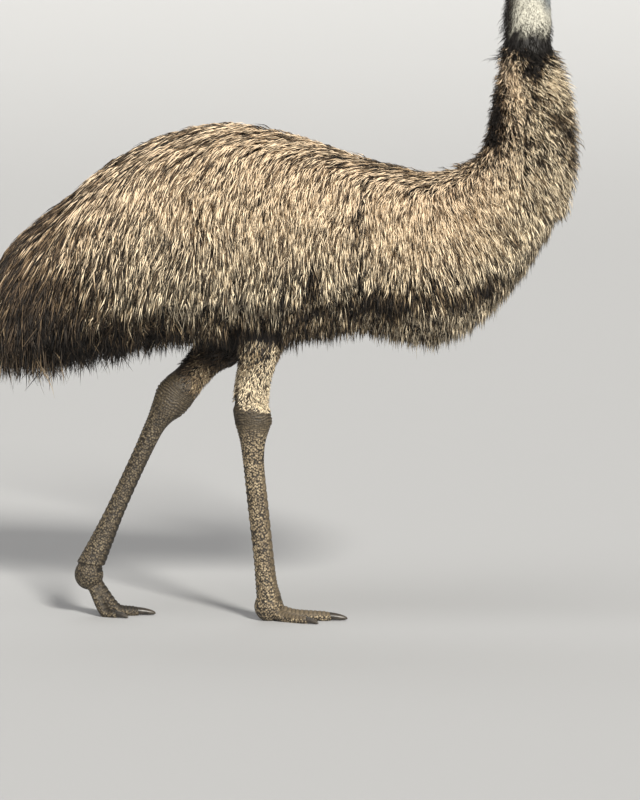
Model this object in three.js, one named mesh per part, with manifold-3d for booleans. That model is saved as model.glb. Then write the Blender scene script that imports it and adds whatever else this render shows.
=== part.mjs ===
// A life-size emu in mid-stride: the right leg stands under the body, the left leg trails behind.
// Millimetres. +X is forward, +Y is the bird's left and +Z is up. The floor is at z = 0.
import * as THREE from "three";
import { mergeVertices } from "three/addons/utils/BufferGeometryUtils.js";
import Module from "manifold-3d";

const wasm = await Module();
wasm.setup();

// Driving dimensions
const GAP = 0.3; // between faces that meet
const SNAP = 1e-3; // coordinates are rounded to this, so shared corners are alike
const RIGHT = -1;
const LEFT = 1;

// The plumage's outer form from rump to head: back x and z, belly x and z, half width, coat depth.
const TRUNK = [
  [-619, 664, -625, 611, 30, 20],
  [-597, 717, -619, 568, 88, 55],
  [-560, 777, -597, 529, 135, 80],
  [-506, 826, -560, 508, 165, 85],
  [-445, 871, -506, 502, 185, 80],
  [-379, 927, -437, 510, 197, 75],
  [-310, 971, -355, 529, 206, 70],
  [-236, 1003, -266, 549, 212, 68],
  [-162, 1020, -178, 556, 215, 66],
  [-86, 1024, -88, 554, 214, 65],
  [-6, 1009, -2, 551, 210, 62],
  [72, 986, 82, 566, 202, 60],
  [146, 960, 166, 578, 193, 60],
  [215, 942, 252, 558, 180, 60],
  [273, 928, 330, 556, 166, 60],
  [322, 927, 408, 599, 152, 60],
  [363, 937, 476, 668, 136, 58],
  [392, 956, 537, 754, 120, 52],
  [408, 984, 574, 830, 106, 46],
  [417, 1021, 590, 912, 94, 40],
  [425, 1062, 592, 998, 84, 36],
  [433, 1103, 582, 1072, 74, 30],
  [442, 1144, 562, 1130, 60, 20],
  [449, 1181, 543, 1175, 47, 8],
  [453, 1226, 543, 1226, 43, 5],
  [456, 1271, 541, 1271, 40, 4],
  [458, 1340, 535, 1340, 36, 4],
  [461, 1410, 531, 1410, 33, 3],
  [466, 1480, 531, 1480, 31, 3],
  [476, 1545, 537, 1545, 29, 3],
  [485, 1590, 542, 1590, 27, 3],
];
const TAIL_ENDS = 4.6; // stations along the trunk where one part meets the next
const TORSO_ENDS = 15.4;
const NECK_BASE_ENDS = 18.7;
const RUFF_ENDS = 22.9;
const NECK_ENDS = 29.6;
const CORE = 0.5; // how far the body under the locks reaches into the coat
const SAG = 0.28; // how far below its middle the body is widest, as a share of its half height
const SAG_FADES = [14, 19]; // stations over which the round neck takes over
const TOP_COAT = 0.55; // the coat on the back, as a share of its depth at the sides

// Rows of locks: root angles from the ridge, stations from and to, how many on each side, and sizes.
const TORSO_LOCKS = [
  { turn: 11, from: 5.3, to: 15.2, count: 7, length: 285, width: 112 },
  { turn: 42, from: 5, to: 15, count: 7, length: 275, width: 112 },
  { turn: 72, from: 5.2, to: 14.9, count: 7, length: 255, width: 112 },
  { turn: 101, from: 5, to: 15, count: 9, hangs: 14, width: 90 },
  { turn: 150, from: 9, to: 15, count: 3, length: 115, width: 88 },
];
const TAIL_LOCKS = [
  { turn: 15, from: 1, to: 4.6, count: 2, length: 260, width: 96 },
  { turn: 58, from: 0.8, to: 4.5, count: 2, length: 245, width: 104 },
  { turn: 100, from: 0.9, to: 4.5, count: 3, hangs: 26, width: 90 },
];
const NECK_BASE_LOCKS = [
  { turn: 16, from: 16.2, to: 18.6, count: 2, length: 130, width: 70 },
  { turn: 62, from: 15.8, to: 18.5, count: 2, length: 155, width: 82 },
  { turn: 108, from: 15.8, to: 18.5, count: 3, length: 140, width: 76 },
  { turn: 156, from: 15.8, to: 18.5, count: 2, length: 125, width: 76 },
];
const RUFF_LOCKS = [
  { turn: 26, from: 19.3, to: 22.8, count: 3, length: 112, width: 58 },
  { turn: 86, from: 19.2, to: 22.7, count: 3, length: 118, width: 60 },
  { turn: 148, from: 19.4, to: 22.8, count: 3, length: 112, width: 58 },
];
const WING = { s: 13.7, turn: 47, length: 190, half: 19, thick: 8, root: 0.4, tip: 1.2 };
const PLUME = { length: 165, width: 44, first: 1, turns: 4, sinks: 0.1, tip: 1.3 };
const LOCK = { sides: 3, steps: 4, thick: 9, root: 0.32, tip: 1.05, widest: 0.25, point: 1.1 };
const SPREAD = { station: 0.3, turn: 5, length: 0.13, width: 0.12, swing: 11, lift: 0.1 }; // how much locks vary
const GROWN = { half: 18, over: 1.4, ends: 10 }; // a lock's growth each way, in gaps, to clear it by one

// The head, along its own x axis from the back of the skull: x, crown z, throat z, half width.
const HEAD_PLACE = { x: 480, z: 1585, nod: 6 };
const HEAD_OUTLINE = [
  [0, 24, 4, 9],
  [8, 37, -6, 19],
  [22, 47, -15, 26],
  [40, 51, -18, 29],
  [58, 49, -16, 28],
  [75, 41, -12, 23.5],
  [90, 33, -9, 19],
];
const BILL_OUTLINE = [
  [80, 34, -8, 18.5],
  [95, 30, -8, 17.5],
  [112, 26, -7.5, 16],
  [130, 21, -6.5, 13.5],
  [144, 15, -5, 9.5],
  [153, 8, -2, 5],
];
const BILL_TIP = 156;
const MOUTH_LINE = { front: 0, back: 3, corner: 62, gap: 0.8 };
const EYE = { x: 56, z: 25, y: 16.5, radius: 13 };
const LID = { radius: 11.5, tube: 2.6, y: 24.6, long: 1.12 };
const EAR = { x: 21, z: 9, y: 26, radius: 6, rim: 1.6 };
const NOSTRIL = { x: 113, z: 14.5, y: 15.5, long: 9, high: 3, deep: 3.2 };

// Each leg, top to bottom: front x and z, back x and z, half width, middle y from the bird's middle.
const RIGHT_LEG = {
  side: RIGHT,
  shin: [
    [23, 656, -100, 676, 50, 64],
    [8, 594, -100, 603, 46, 60],
    [-4, 551, -98, 558, 42, 57],
    [-17, 523, -97, 527, 38, 54],
    [-26, 496, -101, 500, 35, 51],
    [-30, 465, -106, 469, 33, 48],
    [-31, 443, -107, 447, 32, 46],
    [-29, 430, -106, 434, 31.5, 45],
  ],
  shank: [
    [-29, 430, -106, 434, 31.5, 45],
    [-25, 412, -103, 413, 31, 44],
    [-31, 394, -98, 395, 28, 43],
    [-39, 369, -91, 369, 23, 42],
    [-42, 342, -87, 342, 20, 41],
    [-41, 308, -83, 308, 18, 40],
    [-33, 230, -75, 230, 17.5, 37],
    [-23, 133, -64, 133, 19, 33],
    [-16, 78, -60, 80, 23, 31],
    [-6, 46, -58, 50, 27, 30],
  ],
  ankle: { x: -33, z: 29, y: 30 },
  stride: 1, // the toes' reach along the floor, as a share of their own
  touch: 0.45, // where along its reach each toe comes down to the floor
};
const LEFT_LEG = {
  side: LEFT,
  shin: [
    [20, 600, -105, 690, 50, 62],
    [-47, 552, -146, 622, 46, 60],
    [-96, 521, -172, 582, 41, 58],
    [-136, 502, -196, 549, 37, 57],
    [-158, 480, -218, 524, 35, 56],
    [-184, 449, -248, 491, 33, 55],
  ],
  shank: [
    [-184, 449, -248, 491, 33, 55],
    [-195, 432, -263, 474, 32, 55],
    [-211, 415, -273, 442, 30, 54],
    [-234, 400, -282, 414, 25, 54],
    [-251, 381, -293, 388, 21, 53],
    [-271, 344, -310, 348, 19, 52],
    [-300, 284, -338, 288, 18, 50],
    [-332, 212, -372, 217, 18, 48],
    [-355, 152, -404, 157, 22, 46],
    [-373, 104, -430, 112, 26, 45],
  ],
  ankle: { x: -405, z: 86, y: 45 },
  stride: 0.8,
  touch: 0.64,
};
const BLOCK = { long: 30, wide: 29, high: 32 }; // the round block at the toes' roots, as radii
const TOES = {
  inner: { swing: 31, reach: 88, half: 14, high: 13, pads: 2, scutes: 6, claw: 25 },
  middle: { swing: -2, reach: 130, half: 18, high: 16, pads: 3, scutes: 9, claw: 32 },
  outer: { swing: -34, reach: 98, half: 14, high: 13, pads: 3, scutes: 7, claw: 25 },
};
const TOE_TAPER = 0.32; // how much thinner a toe is at its tip
const SOLE = 0.66; // height of a toe's middle line over the floor, as a share of its half height
const CLAW = { half: 8, high: 7.5, droop: 2.5, root: 0.08 };
const SCUTE_RISE = 1.5;
const SHANK_SCUTES = 15;

const smooth = (from, to, x) => THREE.MathUtils.smoothstep(x, from, to);

// The Catmull-Rom value at place s along a table's rows, with the end rows repeated.
function along(rows, s) {
  const last = rows.length - 1;
  const i = Math.min(Math.max(Math.floor(s), 0), last - 1);
  const t = s - i;
  const row = (k) => rows[Math.min(Math.max(k, 0), last)];
  const [a, b, c, d] = [row(i - 1), row(i), row(i + 1), row(i + 2)];
  return b.map(
    (_, k) =>
      b[k] +
      0.5 * t * (c[k] - a[k] + t * (2 * a[k] - 5 * b[k] + 4 * c[k] - d[k] + t * (3 * (b[k] - c[k]) + d[k] - a[k]))),
  );
}

// The value at x of a table whose first column is x.
function at(rows, x) {
  const i = Math.max(0, rows.findLastIndex((row) => row[0] <= x));
  const next = rows[Math.min(i + 1, rows.length - 1)];
  const span = next[0] - rows[i][0];
  return along(rows, i + (span ? (x - rows[i][0]) / span : 0));
}

// A closed form: a cylinder whose corners are moved to rim(t, angle) and its caps' middles to spine(t).
function sweep({ sides, steps, spine, rim, pointed = false, spacing = (t) => t }) {
  const form = new THREE.CylinderGeometry(pointed ? 0 : 1, 1, 1, sides, steps);
  const place = form.getAttribute("position");
  for (let i = 0; i < place.count; i++) {
    const t = spacing(Math.round((place.getY(i) + 0.5) * steps) / steps);
    const radius = Math.hypot(place.getX(i), place.getZ(i));
    const turn = Math.round((Math.atan2(place.getX(i), place.getZ(i)) / Math.PI / 2) * sides);
    const angle = ((turn + sides) % sides) * ((2 * Math.PI) / sides);
    const p = radius < SNAP ? spine(t) : rim(t, angle);
    place.setXYZ(i, ...p.toArray().map((v) => Math.round(v / SNAP) * SNAP));
  }
  return solid(form);
}

// A three.js geometry as a solid that can be joined and cut, with its faces turned outwards.
function solid(geometry) {
  geometry.deleteAttribute("normal");
  geometry.deleteAttribute("uv");
  const merged = mergeVertices(geometry, SNAP / 10);
  const vertProperties = merged.getAttribute("position").array;
  const triVerts = new Uint32Array(merged.index.array);
  const made = new wasm.Manifold(new wasm.Mesh({ numProp: 3, vertProperties, triVerts }));
  if (made.volume() > 0) return made;
  for (let i = 0; i < triVerts.length; i += 3) {
    [triVerts[i + 1], triVerts[i + 2]] = [triVerts[i + 2], triVerts[i + 1]];
  }
  return new wasm.Manifold(new wasm.Mesh({ numProp: 3, vertProperties, triVerts }));
}

const joined = (pieces) => wasm.Manifold.union(pieces);

// The largest closed surface of a solid, without the slivers that a cut can leave.
function largest(made) {
  return made.simplify(10 * SNAP).decompose().sort((a, b) => b.volume() - a.volume())[0];
}

// Trunk

// A point of the trunk: s is the station, turn the angle from the back's ridge towards the left side,
// lift 0 the skin and 1 the plumage's outer form, and grow an extra thickness.
function trunk(s, turn, lift = 1, grow = 0) {
  const [backX, backZ, bellyX, bellyZ, half, coat] = along(TRUNK, s);
  const back = new THREE.Vector3(backX, 0, backZ);
  const belly = new THREE.Vector3(bellyX, 0, bellyZ);
  const up = back.clone().sub(belly).normalize();
  const depth = (1 - lift) * coat - grow;
  back.addScaledVector(up, -(depth - (1 - TOP_COAT) * (1 - lift) * coat));
  belly.addScaledVector(up, depth);
  const sag = SAG * (1 - smooth(...SAG_FADES, s));
  const rise = Math.cos(turn) - sag * Math.sin(turn) ** 2;
  const middle = back.clone().add(belly).multiplyScalar(0.5);
  middle.addScaledVector(back.sub(belly), rise / 2);
  middle.y = (half - depth) * Math.sin(turn);
  return middle;
}

// A stretch of the trunk from one station to another, with flat ends half a gap short of them.
function trunkStretch({ from, to, lift, grow = 0, sides, steps }) {
  const trim = (t, p) => {
    if (t > 0 && t < 1) return p;
    const s = t ? to : from;
    const across = trunk(s, 0).sub(trunk(s, Math.PI));
    const onward = new THREE.Vector3(across.z, 0, -across.x).normalize();
    return p.addScaledVector(onward, (t ? -1 : 1) * (GAP / 2 - 1.5 * grow));
  };
  const station = (t) => from + (to - from) * t;
  const spine = (t) =>
    trim(t, trunk(station(t), 0, lift).add(trunk(station(t), Math.PI, lift)).multiplyScalar(0.5));
  const rim = (t, angle) => trim(t, trunk(station(t), angle, lift, grow));
  return sweep({ sides, steps, spine, rim });
}

// Locks

// Numbers between -1 and 1, the same in every run.
function drawn(seed) {
  let state = seed;
  return () => {
    state = (state * 1664525 + 1013904223) % 4294967296;
    return (state / 4294967296) * 2 - 1;
  };
}

const degrees = THREE.MathUtils.degToRad;

// The way that feathers point at a place on the trunk, before it is laid on the surface.
function lie(s, turn) {
  const over = Math.max(0, Math.cos(turn));
  const side = Math.sign(Math.sin(turn));
  const tailward = 0.55 + 0.4 * over;
  const body = 0.14 + 1.1 * over ** 2;
  const breast = -0.26 * (1 - over);
  const middle = THREE.MathUtils.lerp(tailward, body, smooth(1.5, 6.5, s));
  const back = THREE.MathUtils.lerp(middle, breast, smooth(12, 16.5, s));
  return new THREE.Vector3(-back, side * 0.45 * over, -1 + 0.55 * over * (1 - smooth(13, 17, s)));
}

// The outward direction and the changes of place with station and angle, at a place on the trunk.
function trunkFrame(s, turn) {
  const step = 0.02;
  const bySpan = trunk(s + step, turn).sub(trunk(s - step, turn)).divideScalar(2 * step);
  const byTurn = trunk(s, turn + step).sub(trunk(s, turn - step)).divideScalar(2 * step);
  return { bySpan, byTurn, out: bySpan.clone().cross(byTurn).normalize() };
}

// The line of a lock from its root, laid along the plumage, as points with their outward directions.
function lockLine({ s, turn, length, swing = 0, root = LOCK.root, tip = LOCK.tip }) {
  const points = [];
  let hanging = 0;
  let way;
  for (let i = 0; i <= LOCK.steps; i++) {
    const t = i / LOCK.steps;
    const { bySpan, byTurn, out } = trunkFrame(s, turn);
    const lift = root + (tip - root) * smooth(0, 0.75, t);
    const p = hanging ? points.at(-1).p.clone().addScaledVector(way, length / LOCK.steps) : trunk(s, turn, lift);
    points.push({ s, turn, lift, p, out: hanging ? points.at(-1).out : out });
    if (i && out.z < -0.3) hanging += 1;
    const along = hanging ? new THREE.Vector3(0, 0, -1) : lie(s, turn).applyAxisAngle(out, swing);
    if (!hanging) along.addScaledVector(out, -along.dot(out));
    way = way ? way.multiplyScalar(0.35).addScaledVector(along.normalize(), 0.65).normalize() : along.normalize();
    const move = way.clone().multiplyScalar(length / LOCK.steps);
    const [a, b, c] = [bySpan.lengthSq(), bySpan.dot(byTurn), byTurn.lengthSq()];
    const [u, v] = [move.dot(bySpan), move.dot(byTurn)];
    s = Math.max(0.05, s + (u * c - v * b) / (a * c - b * b));
    turn += (v * a - u * b) / (a * c - b * b);
  }
  return points;
}

// The place, and the directions over and aside, at one of a line's points; its ends move out by reach.
function lineFrame(line, t, reach) {
  const last = line.length - 1;
  const i = Math.round(t * last);
  const ahead = line[Math.min(i + 1, last)].p.clone().sub(line[Math.max(i - 1, 0)].p).normalize();
  const over = line[i].out.clone().addScaledVector(ahead, -line[i].out.dot(ahead)).normalize();
  const p = line[i].p.clone().addScaledVector(ahead, ((i === last) - (i === 0)) * reach);
  return { p, over, aside: over.clone().cross(ahead) };
}

// A flat, tapered lock along its line: two edges and a ridge that shows.
function lockForm(line, { width, thick = LOCK.thick }, grow = 0) {
  const reach = grow * GROWN.ends;
  const spine = (t) => lineFrame(line, t, reach).p;
  const rim = (t, angle) => {
    const { p, over, aside } = lineFrame(line, t, reach);
    const narrowing = 1 - Math.max(0, (t - LOCK.widest) / (1 - LOCK.widest)) ** LOCK.point;
    const half = (width / 2) * narrowing * (0.6 + 0.4 * smooth(0, LOCK.widest, t)) + grow * GROWN.half;
    const edge = Math.sign(Math.round(Math.sin(angle) * 10));
    const rise = (edge ? -0.25 : 0.75) * thick * (1 - 0.5 * t) + (edge ? -1 : 1) * grow * GROWN.over;
    return p.addScaledVector(aside, edge * half).addScaledVector(over, rise);
  };
  return sweep({ sides: LOCK.sides, steps: line.length - 1, spine, rim, pointed: true });
}

// Both sides' locks of some rows, as lines and sizes.
function rowsOfLocks(rows, seed) {
  const draw = drawn(seed);
  return rows.flatMap((row, r) =>
    [RIGHT, LEFT].flatMap((side) =>
      Array.from({ length: row.count }, (_, i) => {
        const share = (i + 0.5 + (r % 2 ? 0.2 : -0.2)) / row.count;
        const s = row.from + (row.to - row.from) * share + SPREAD.station * draw();
        const turn = side * degrees(row.turn + SPREAD.turn * draw());
        const hang = row.hangs ? trunk(s, turn).z - along(TRUNK, s)[3] + row.hangs * (1 + draw()) : row.length;
        const length = hang * (1 + (row.hangs ? 0 : SPREAD.length * draw()));
        const width = row.width * (1 + SPREAD.width * draw());
        const tip = LOCK.tip + SPREAD.lift * draw();
        return { line: lockLine({ s, turn, length, tip, swing: degrees(SPREAD.swing * draw()) }), width };
      }),
    ),
  );
}

// A short flat wing laid on the plumage, with plumes that hang from it.
function wingForm(side, grow = 0) {
  const line = lockLine({ ...WING, turn: side * degrees(WING.turn) });
  const spine = (t) => lineFrame(line, t, grow * 2).p;
  const rim = (t, angle) => {
    const { p, over, aside } = lineFrame(line, t, grow * 2);
    const round = t > 0 && t < 1 ? 1 : 0.5;
    p.addScaledVector(aside, (WING.half * round + grow * 2) * Math.sin(angle));
    return p.addScaledVector(over, (WING.thick * round + grow * 2) * Math.cos(angle));
  };
  const plumes = line.slice(PLUME.first).map(({ s, turn, lift }, i) => {
    const from = { s, turn: turn + side * degrees(PLUME.turns * (i - 1)), root: lift - PLUME.sinks };
    return lockForm(lockLine({ ...PLUME, ...from, swing: side * degrees(6 - 5 * i) }), PLUME, grow);
  });
  return joined([sweep({ sides: 8, steps: line.length - 1, spine, rim }), ...plumes]);
}

const lockForms = (locks, grow = 0) => joined(locks.map((lock) => lockForm(lock.line, lock, grow)));

// Head

// A point given along the head's own axes, in the part's frame.
function inHead(x, y, z) {
  const nod = THREE.MathUtils.degToRad(HEAD_PLACE.nod);
  const p = new THREE.Vector3(x, y, z).applyAxisAngle(new THREE.Vector3(0, 1, 0), nod);
  return p.add(new THREE.Vector3(HEAD_PLACE.x, 0, HEAD_PLACE.z));
}

// A form along the head's x axis from a table of outlines.
function headSweep({ rows, from, to, sides, steps, grow = 0 }) {
  const x = (t) => from + (to - from) * t;
  const spine = (t) => {
    const [, top, low] = at(rows, x(t));
    return inHead(x(t) + (t === 1 ? grow : 0), 0, (top + low) / 2);
  };
  const rim = (t, angle) => {
    const [, top, low, half] = at(rows, x(t));
    const z = (top + low) / 2 + ((top - low) / 2 + grow) * Math.cos(angle);
    return inHead(x(t) + (t === 1 ? grow : 0), (half + grow) * Math.sin(angle), z);
  };
  return sweep({ sides, steps, spine, rim });
}

// A ball stretched along the head's axes.
function headBall({ x, y, z }, [long, wide, high], facets = 8) {
  const ball = new THREE.SphereGeometry(1, facets, Math.round(facets * 0.75));
  ball.scale(long, wide, high);
  ball.translate(x, y, z);
  return solid(toHead(ball));
}

// A ring round an axis across the head.
function headRing({ x, y, z }, radius, tube, long, side, facets) {
  const ring = new THREE.TorusGeometry(radius, tube, 5, facets);
  ring.rotateX(Math.PI / 2);
  ring.scale(long, 1, 1);
  ring.translate(x, side * y, z);
  return solid(toHead(ring));
}

// Turns and moves a geometry from the head's own axes to the part's frame.
function toHead(geometry) {
  const place = geometry.getAttribute("position");
  for (let i = 0; i < place.count; i++) {
    const p = inHead(place.getX(i), place.getY(i), place.getZ(i));
    place.setXYZ(i, ...p.toArray().map((v) => Math.round(v / SNAP) * SNAP));
  }
  return geometry;
}

const eyeBall = (side, grow = 0) => {
  const radius = EYE.radius + grow;
  return headBall({ x: EYE.x, y: side * EYE.y, z: EYE.z }, [radius, radius, radius], 12);
};

const skull = (grow = 0) =>
  headSweep({ rows: HEAD_OUTLINE, from: 0, to: 90, sides: 16, steps: 9, grow });

function headSolid() {
  const lids = [RIGHT, LEFT].map((side) =>
    headRing({ x: EYE.x, y: LID.y, z: EYE.z }, LID.radius, LID.tube, LID.long, side, 12),
  );
  const rims = [RIGHT, LEFT].map((side) => headRing(EAR, EAR.radius, EAR.rim, 1, side, 8));
  const ears = [RIGHT, LEFT].map((side) =>
    headBall({ ...EAR, y: side * (EAR.y + 1) }, [EAR.radius - 1, EAR.radius, EAR.radius - 1]),
  );
  return joined([skull(), ...lids, ...rims])
    .subtract(joined([...ears, eyeBall(RIGHT, GAP), eyeBall(LEFT, GAP), mouthSlab(-0.5, 0.5)]));
}

// The height of the line where the bill's halves meet.
const mouthHeight = (x) => MOUTH_LINE.back + (MOUTH_LINE.front - MOUTH_LINE.back) * smooth(62, 150, x);

// A slab that follows the mouth's line, from so many gaps below it to so many above it.
function mouthSlab(below, above) {
  const length = BILL_TIP + 10 - MOUTH_LINE.corner;
  const slab = new THREE.BoxGeometry(length, 80, (above - below) * MOUTH_LINE.gap, 8);
  slab.translate(MOUTH_LINE.corner + length / 2, 0, ((above + below) * MOUTH_LINE.gap) / 2);
  const place = slab.getAttribute("position");
  for (let i = 0; i < place.count; i++) place.setZ(i, place.getZ(i) + mouthHeight(place.getX(i)));
  return solid(toHead(slab));
}

const bill = headSweep({ rows: BILL_OUTLINE, from: 80, to: 153, sides: 14, steps: 8 }).subtract(skull(GAP));

function upperBill() {
  const slots = [RIGHT, LEFT].map((side) =>
    headBall({ ...NOSTRIL, y: side * NOSTRIL.y }, [NOSTRIL.long, NOSTRIL.deep, NOSTRIL.high]),
  );
  return bill.subtract(joined([mouthSlab(-60, 0.5), ...slots]));
}

const lowerBill = () => bill.subtract(mouthSlab(-0.5, 60));

// Legs

// A limb's form from a table of front and back edges, half widths and middles.
function limb({ rows, side, sides, steps, grow = 0, rise = () => 0, spacing }) {
  const last = rows.length - 1;
  const parts = (t) => {
    const [frontX, frontZ, backX, backZ, half, y] = along(rows, t * last);
    return { front: new THREE.Vector3(frontX, 0, frontZ), back: new THREE.Vector3(backX, 0, backZ), half, y };
  };
  const spine = (t) => {
    const { front, back, y } = parts(t);
    return front.add(back).multiplyScalar(0.5).setY(side * y);
  };
  const rim = (t, angle) => {
    const { front, back, half, y } = parts(t);
    const reach = front.distanceTo(back) / 2;
    const out = grow + rise(t, angle);
    const p = front.clone().add(back).multiplyScalar(0.5);
    p.addScaledVector(front.sub(back), (Math.cos(angle) * (reach + out)) / reach / 2);
    return p.setY(side * y + (half + out) * Math.sin(angle));
  };
  return sweep({ sides, steps, spine, rim, spacing });
}

// A small shift of a table's end row along the limb, so that two limbs meet across a gap.
function shortened(rows, end, by) {
  const copy = rows.map((row) => [...row]);
  const row = end ? copy.at(-1) : copy[0];
  const across = new THREE.Vector2(row[0] - row[2], row[1] - row[3]).normalize();
  const move = end ? by : -by;
  for (const k of [0, 2]) {
    row[k] -= across.y * move;
    row[k + 1] += across.x * move;
  }
  return copy;
}

const shin = (leg, grow = 0) =>
  limb({ rows: shortened(leg.shin, true, GAP / 2), side: leg.side, sides: 12, steps: 7, grow });

// Rings in pairs, a low one and a high one, so that each scute rises towards its lower edge.
const stepped = (scutes) => (t) => {
  const ring = Math.round(t * scutes * 2);
  return ring % 2 ? (ring + 0.75) / scutes / 2 : t;
};
const isEdge = (t, scutes) => Math.abs(t * scutes - Math.round(t * scutes)) > 0.2;

function shank(leg) {
  const rise = (t, angle) => {
    if (!isEdge(t, SHANK_SCUTES) || t < 0.12 || t > 0.97) return 0;
    const behind = Math.max(0, -Math.cos(angle)) ** 2;
    const before = Math.max(0, Math.cos(angle)) ** 2 * smooth(0.45, 0.7, t);
    return SCUTE_RISE * (1.4 * behind + before);
  };
  const spacing = stepped(SHANK_SCUTES);
  const rows = shortened(leg.shank, false, GAP / 2);
  return limb({ rows, side: leg.side, sides: 10, steps: SHANK_SCUTES * 2, rise, spacing })
    .subtract(block(leg, GAP));
}

// The round block under the shank, flat where it stands on the floor.
function block(leg, grow = 0) {
  const { x, y, z } = leg.ankle;
  const ball = new THREE.SphereGeometry(1, 12, 8);
  ball.rotateX(Math.PI / 2);
  ball.scale(BLOCK.long + grow, BLOCK.wide + grow, BLOCK.high + grow);
  ball.translate(x, leg.side * y, z);
  const place = ball.getAttribute("position");
  for (let i = 0; i < place.count; i++) {
    const p = [place.getX(i), place.getY(i), Math.max(0, place.getZ(i))];
    place.setXYZ(i, ...p.map((v) => Math.round(v / SNAP) * SNAP));
  }
  return solid(ball);
}

const toeHeight = (toe, t) => toe.high * (1 - TOE_TAPER * t);

// The middle line of a toe at a share t of its reach: out of the block, down to the floor, along it.
function toeLine(leg, toe) {
  const { x, y, z } = leg.ankle;
  const swing = THREE.MathUtils.degToRad(toe.swing) * -leg.side;
  const reach = toe.reach * leg.stride;
  const points = Array.from({ length: 13 }, (_, i) => {
    const t = i / 12;
    const low = SOLE * toeHeight(toe, t);
    const high = (z - 4 - low) * (1 - smooth(-0.1, leg.touch, t));
    return new THREE.Vector3(x + reach * t * Math.cos(swing), leg.side * y + reach * t * Math.sin(swing), low + high);
  });
  return new THREE.CatmullRomCurve3(points);
}

// A toe's place, the directions ahead, aside and up from it, and its half sizes, at a share of its length.
function toeFrame(line, toe, t) {
  const ahead = line.getTangentAt(t);
  const aside = new THREE.Vector3(0, 0, 1).cross(ahead).normalize();
  const pads = 1 + 0.07 * Math.cos(2 * Math.PI * toe.pads * t);
  const half = toe.half * (1 - TOE_TAPER * t) * pads;
  return { ahead, aside, over: ahead.clone().cross(aside), half, high: toeHeight(toe, t) };
}

function toeForm(leg, toe, grow = 0) {
  const line = toeLine(leg, toe);
  const spine = (t) => {
    const p = line.getPointAt(t).addScaledVector(toeFrame(line, toe, t).ahead, t ? grow : 0);
    return p.setZ(Math.max(1, p.z));
  };
  const rim = (t, angle) => {
    const { aside, over, half, high } = toeFrame(line, toe, t);
    const blunt = t === 1 ? 0.6 : 1;
    const scute = isEdge(t, toe.scutes) && t > 0.2 ? SCUTE_RISE * Math.max(0, Math.cos(angle)) : 0;
    const p = spine(t).addScaledVector(aside, (half * blunt + grow) * Math.sin(angle));
    p.addScaledVector(over, (high * blunt + grow + scute) * Math.cos(angle));
    return p.setZ(Math.max(0, p.z));
  };
  return sweep({ sides: 8, steps: toe.scutes * 2, spine, rim, spacing: stepped(toe.scutes) });
}

function clawForm(leg, toe) {
  const line = toeLine(leg, toe);
  const root = line.getPointAt(1 - CLAW.root);
  const { ahead, aside } = toeFrame(line, toe, 1);
  const length = toe.claw + toe.reach * CLAW.root;
  const size = toe.half / TOES.middle.half;
  const spine = (t) => root.clone().addScaledVector(ahead, length * t).setZ(root.z + 2 - CLAW.droop * t * (1 + t));
  const rim = (t, angle) => {
    const taper = Math.sqrt(1 - t * t);
    const p = spine(t).addScaledVector(aside, CLAW.half * size * taper * Math.sin(angle));
    return p.setZ(Math.max(0, p.z + CLAW.high * size * taper * Math.cos(angle)));
  };
  return sweep({ sides: 6, steps: 5, spine, rim, pointed: true });
}

// Parts

const stretches = {
  tail: { from: 0, to: TAIL_ENDS, sides: 16, steps: 6, rows: TAIL_LOCKS, seed: 11 },
  torso: { from: TAIL_ENDS, to: TORSO_ENDS, sides: 20, steps: 12, rows: TORSO_LOCKS, seed: 43 },
  neck_base: { from: TORSO_ENDS, to: NECK_BASE_ENDS, sides: 16, steps: 5, rows: NECK_BASE_LOCKS, seed: 37 },
  neck_lower: { from: NECK_BASE_ENDS, to: RUFF_ENDS, sides: 14, steps: 6, rows: RUFF_LOCKS, seed: 41 },
};

// One stretch of the plumage: the body under its locks, the locks, and each grown by a gap.
function plumed({ rows, seed, ...stretch }) {
  const locks = rowsOfLocks(rows, seed);
  return {
    core: trunkStretch({ ...stretch, lift: CORE }),
    locks: lockForms(locks),
    coreGrown: trunkStretch({ ...stretch, lift: CORE, grow: GAP }),
    locksGrown: lockForms(locks, GAP),
  };
}

const neckUpper = trunkStretch({ from: RUFF_ENDS, to: NECK_ENDS, lift: 1, sides: 14, steps: 8 });
const bird = Object.fromEntries(Object.entries(stretches).map(([name, stretch]) => [name, plumed(stretch)]));

const SKIN = { color: 0x3f352c, roughness: 0.8, metalness: 0 };
const FINISHES = {
  plumage: { color: 0x6b5a48, roughness: 0.95, metalness: 0 },
  throat: { color: 0xb9bdb8, roughness: 0.75, metalness: 0 },
  face: { color: 0x4a4c52, roughness: 0.8, metalness: 0 },
  bill: { color: 0x26221f, roughness: 0.45, metalness: 0 },
  eye: { color: 0x6a2f14, roughness: 0.12, metalness: 0 },
  shin: { color: 0xb7a27c, roughness: 0.95, metalness: 0 },
  scaled: SKIN,
  claw: { color: 0x1d1916, roughness: 0.4, metalness: 0 },
};

const emu = new THREE.Group();

// Adds one named part of the bird with its finish.
function add(name, made, finish) {
  const { vertProperties, triVerts } = largest(made).getMesh();
  const geometry = new THREE.BufferGeometry()
    .setAttribute("position", new THREE.BufferAttribute(vertProperties, 3))
    .setIndex(new THREE.BufferAttribute(triVerts, 1));
  const mesh = new THREE.Mesh(geometry, new THREE.MeshStandardMaterial(FINISHES[finish]));
  mesh.name = name;
  emu.add(mesh);
}

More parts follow.
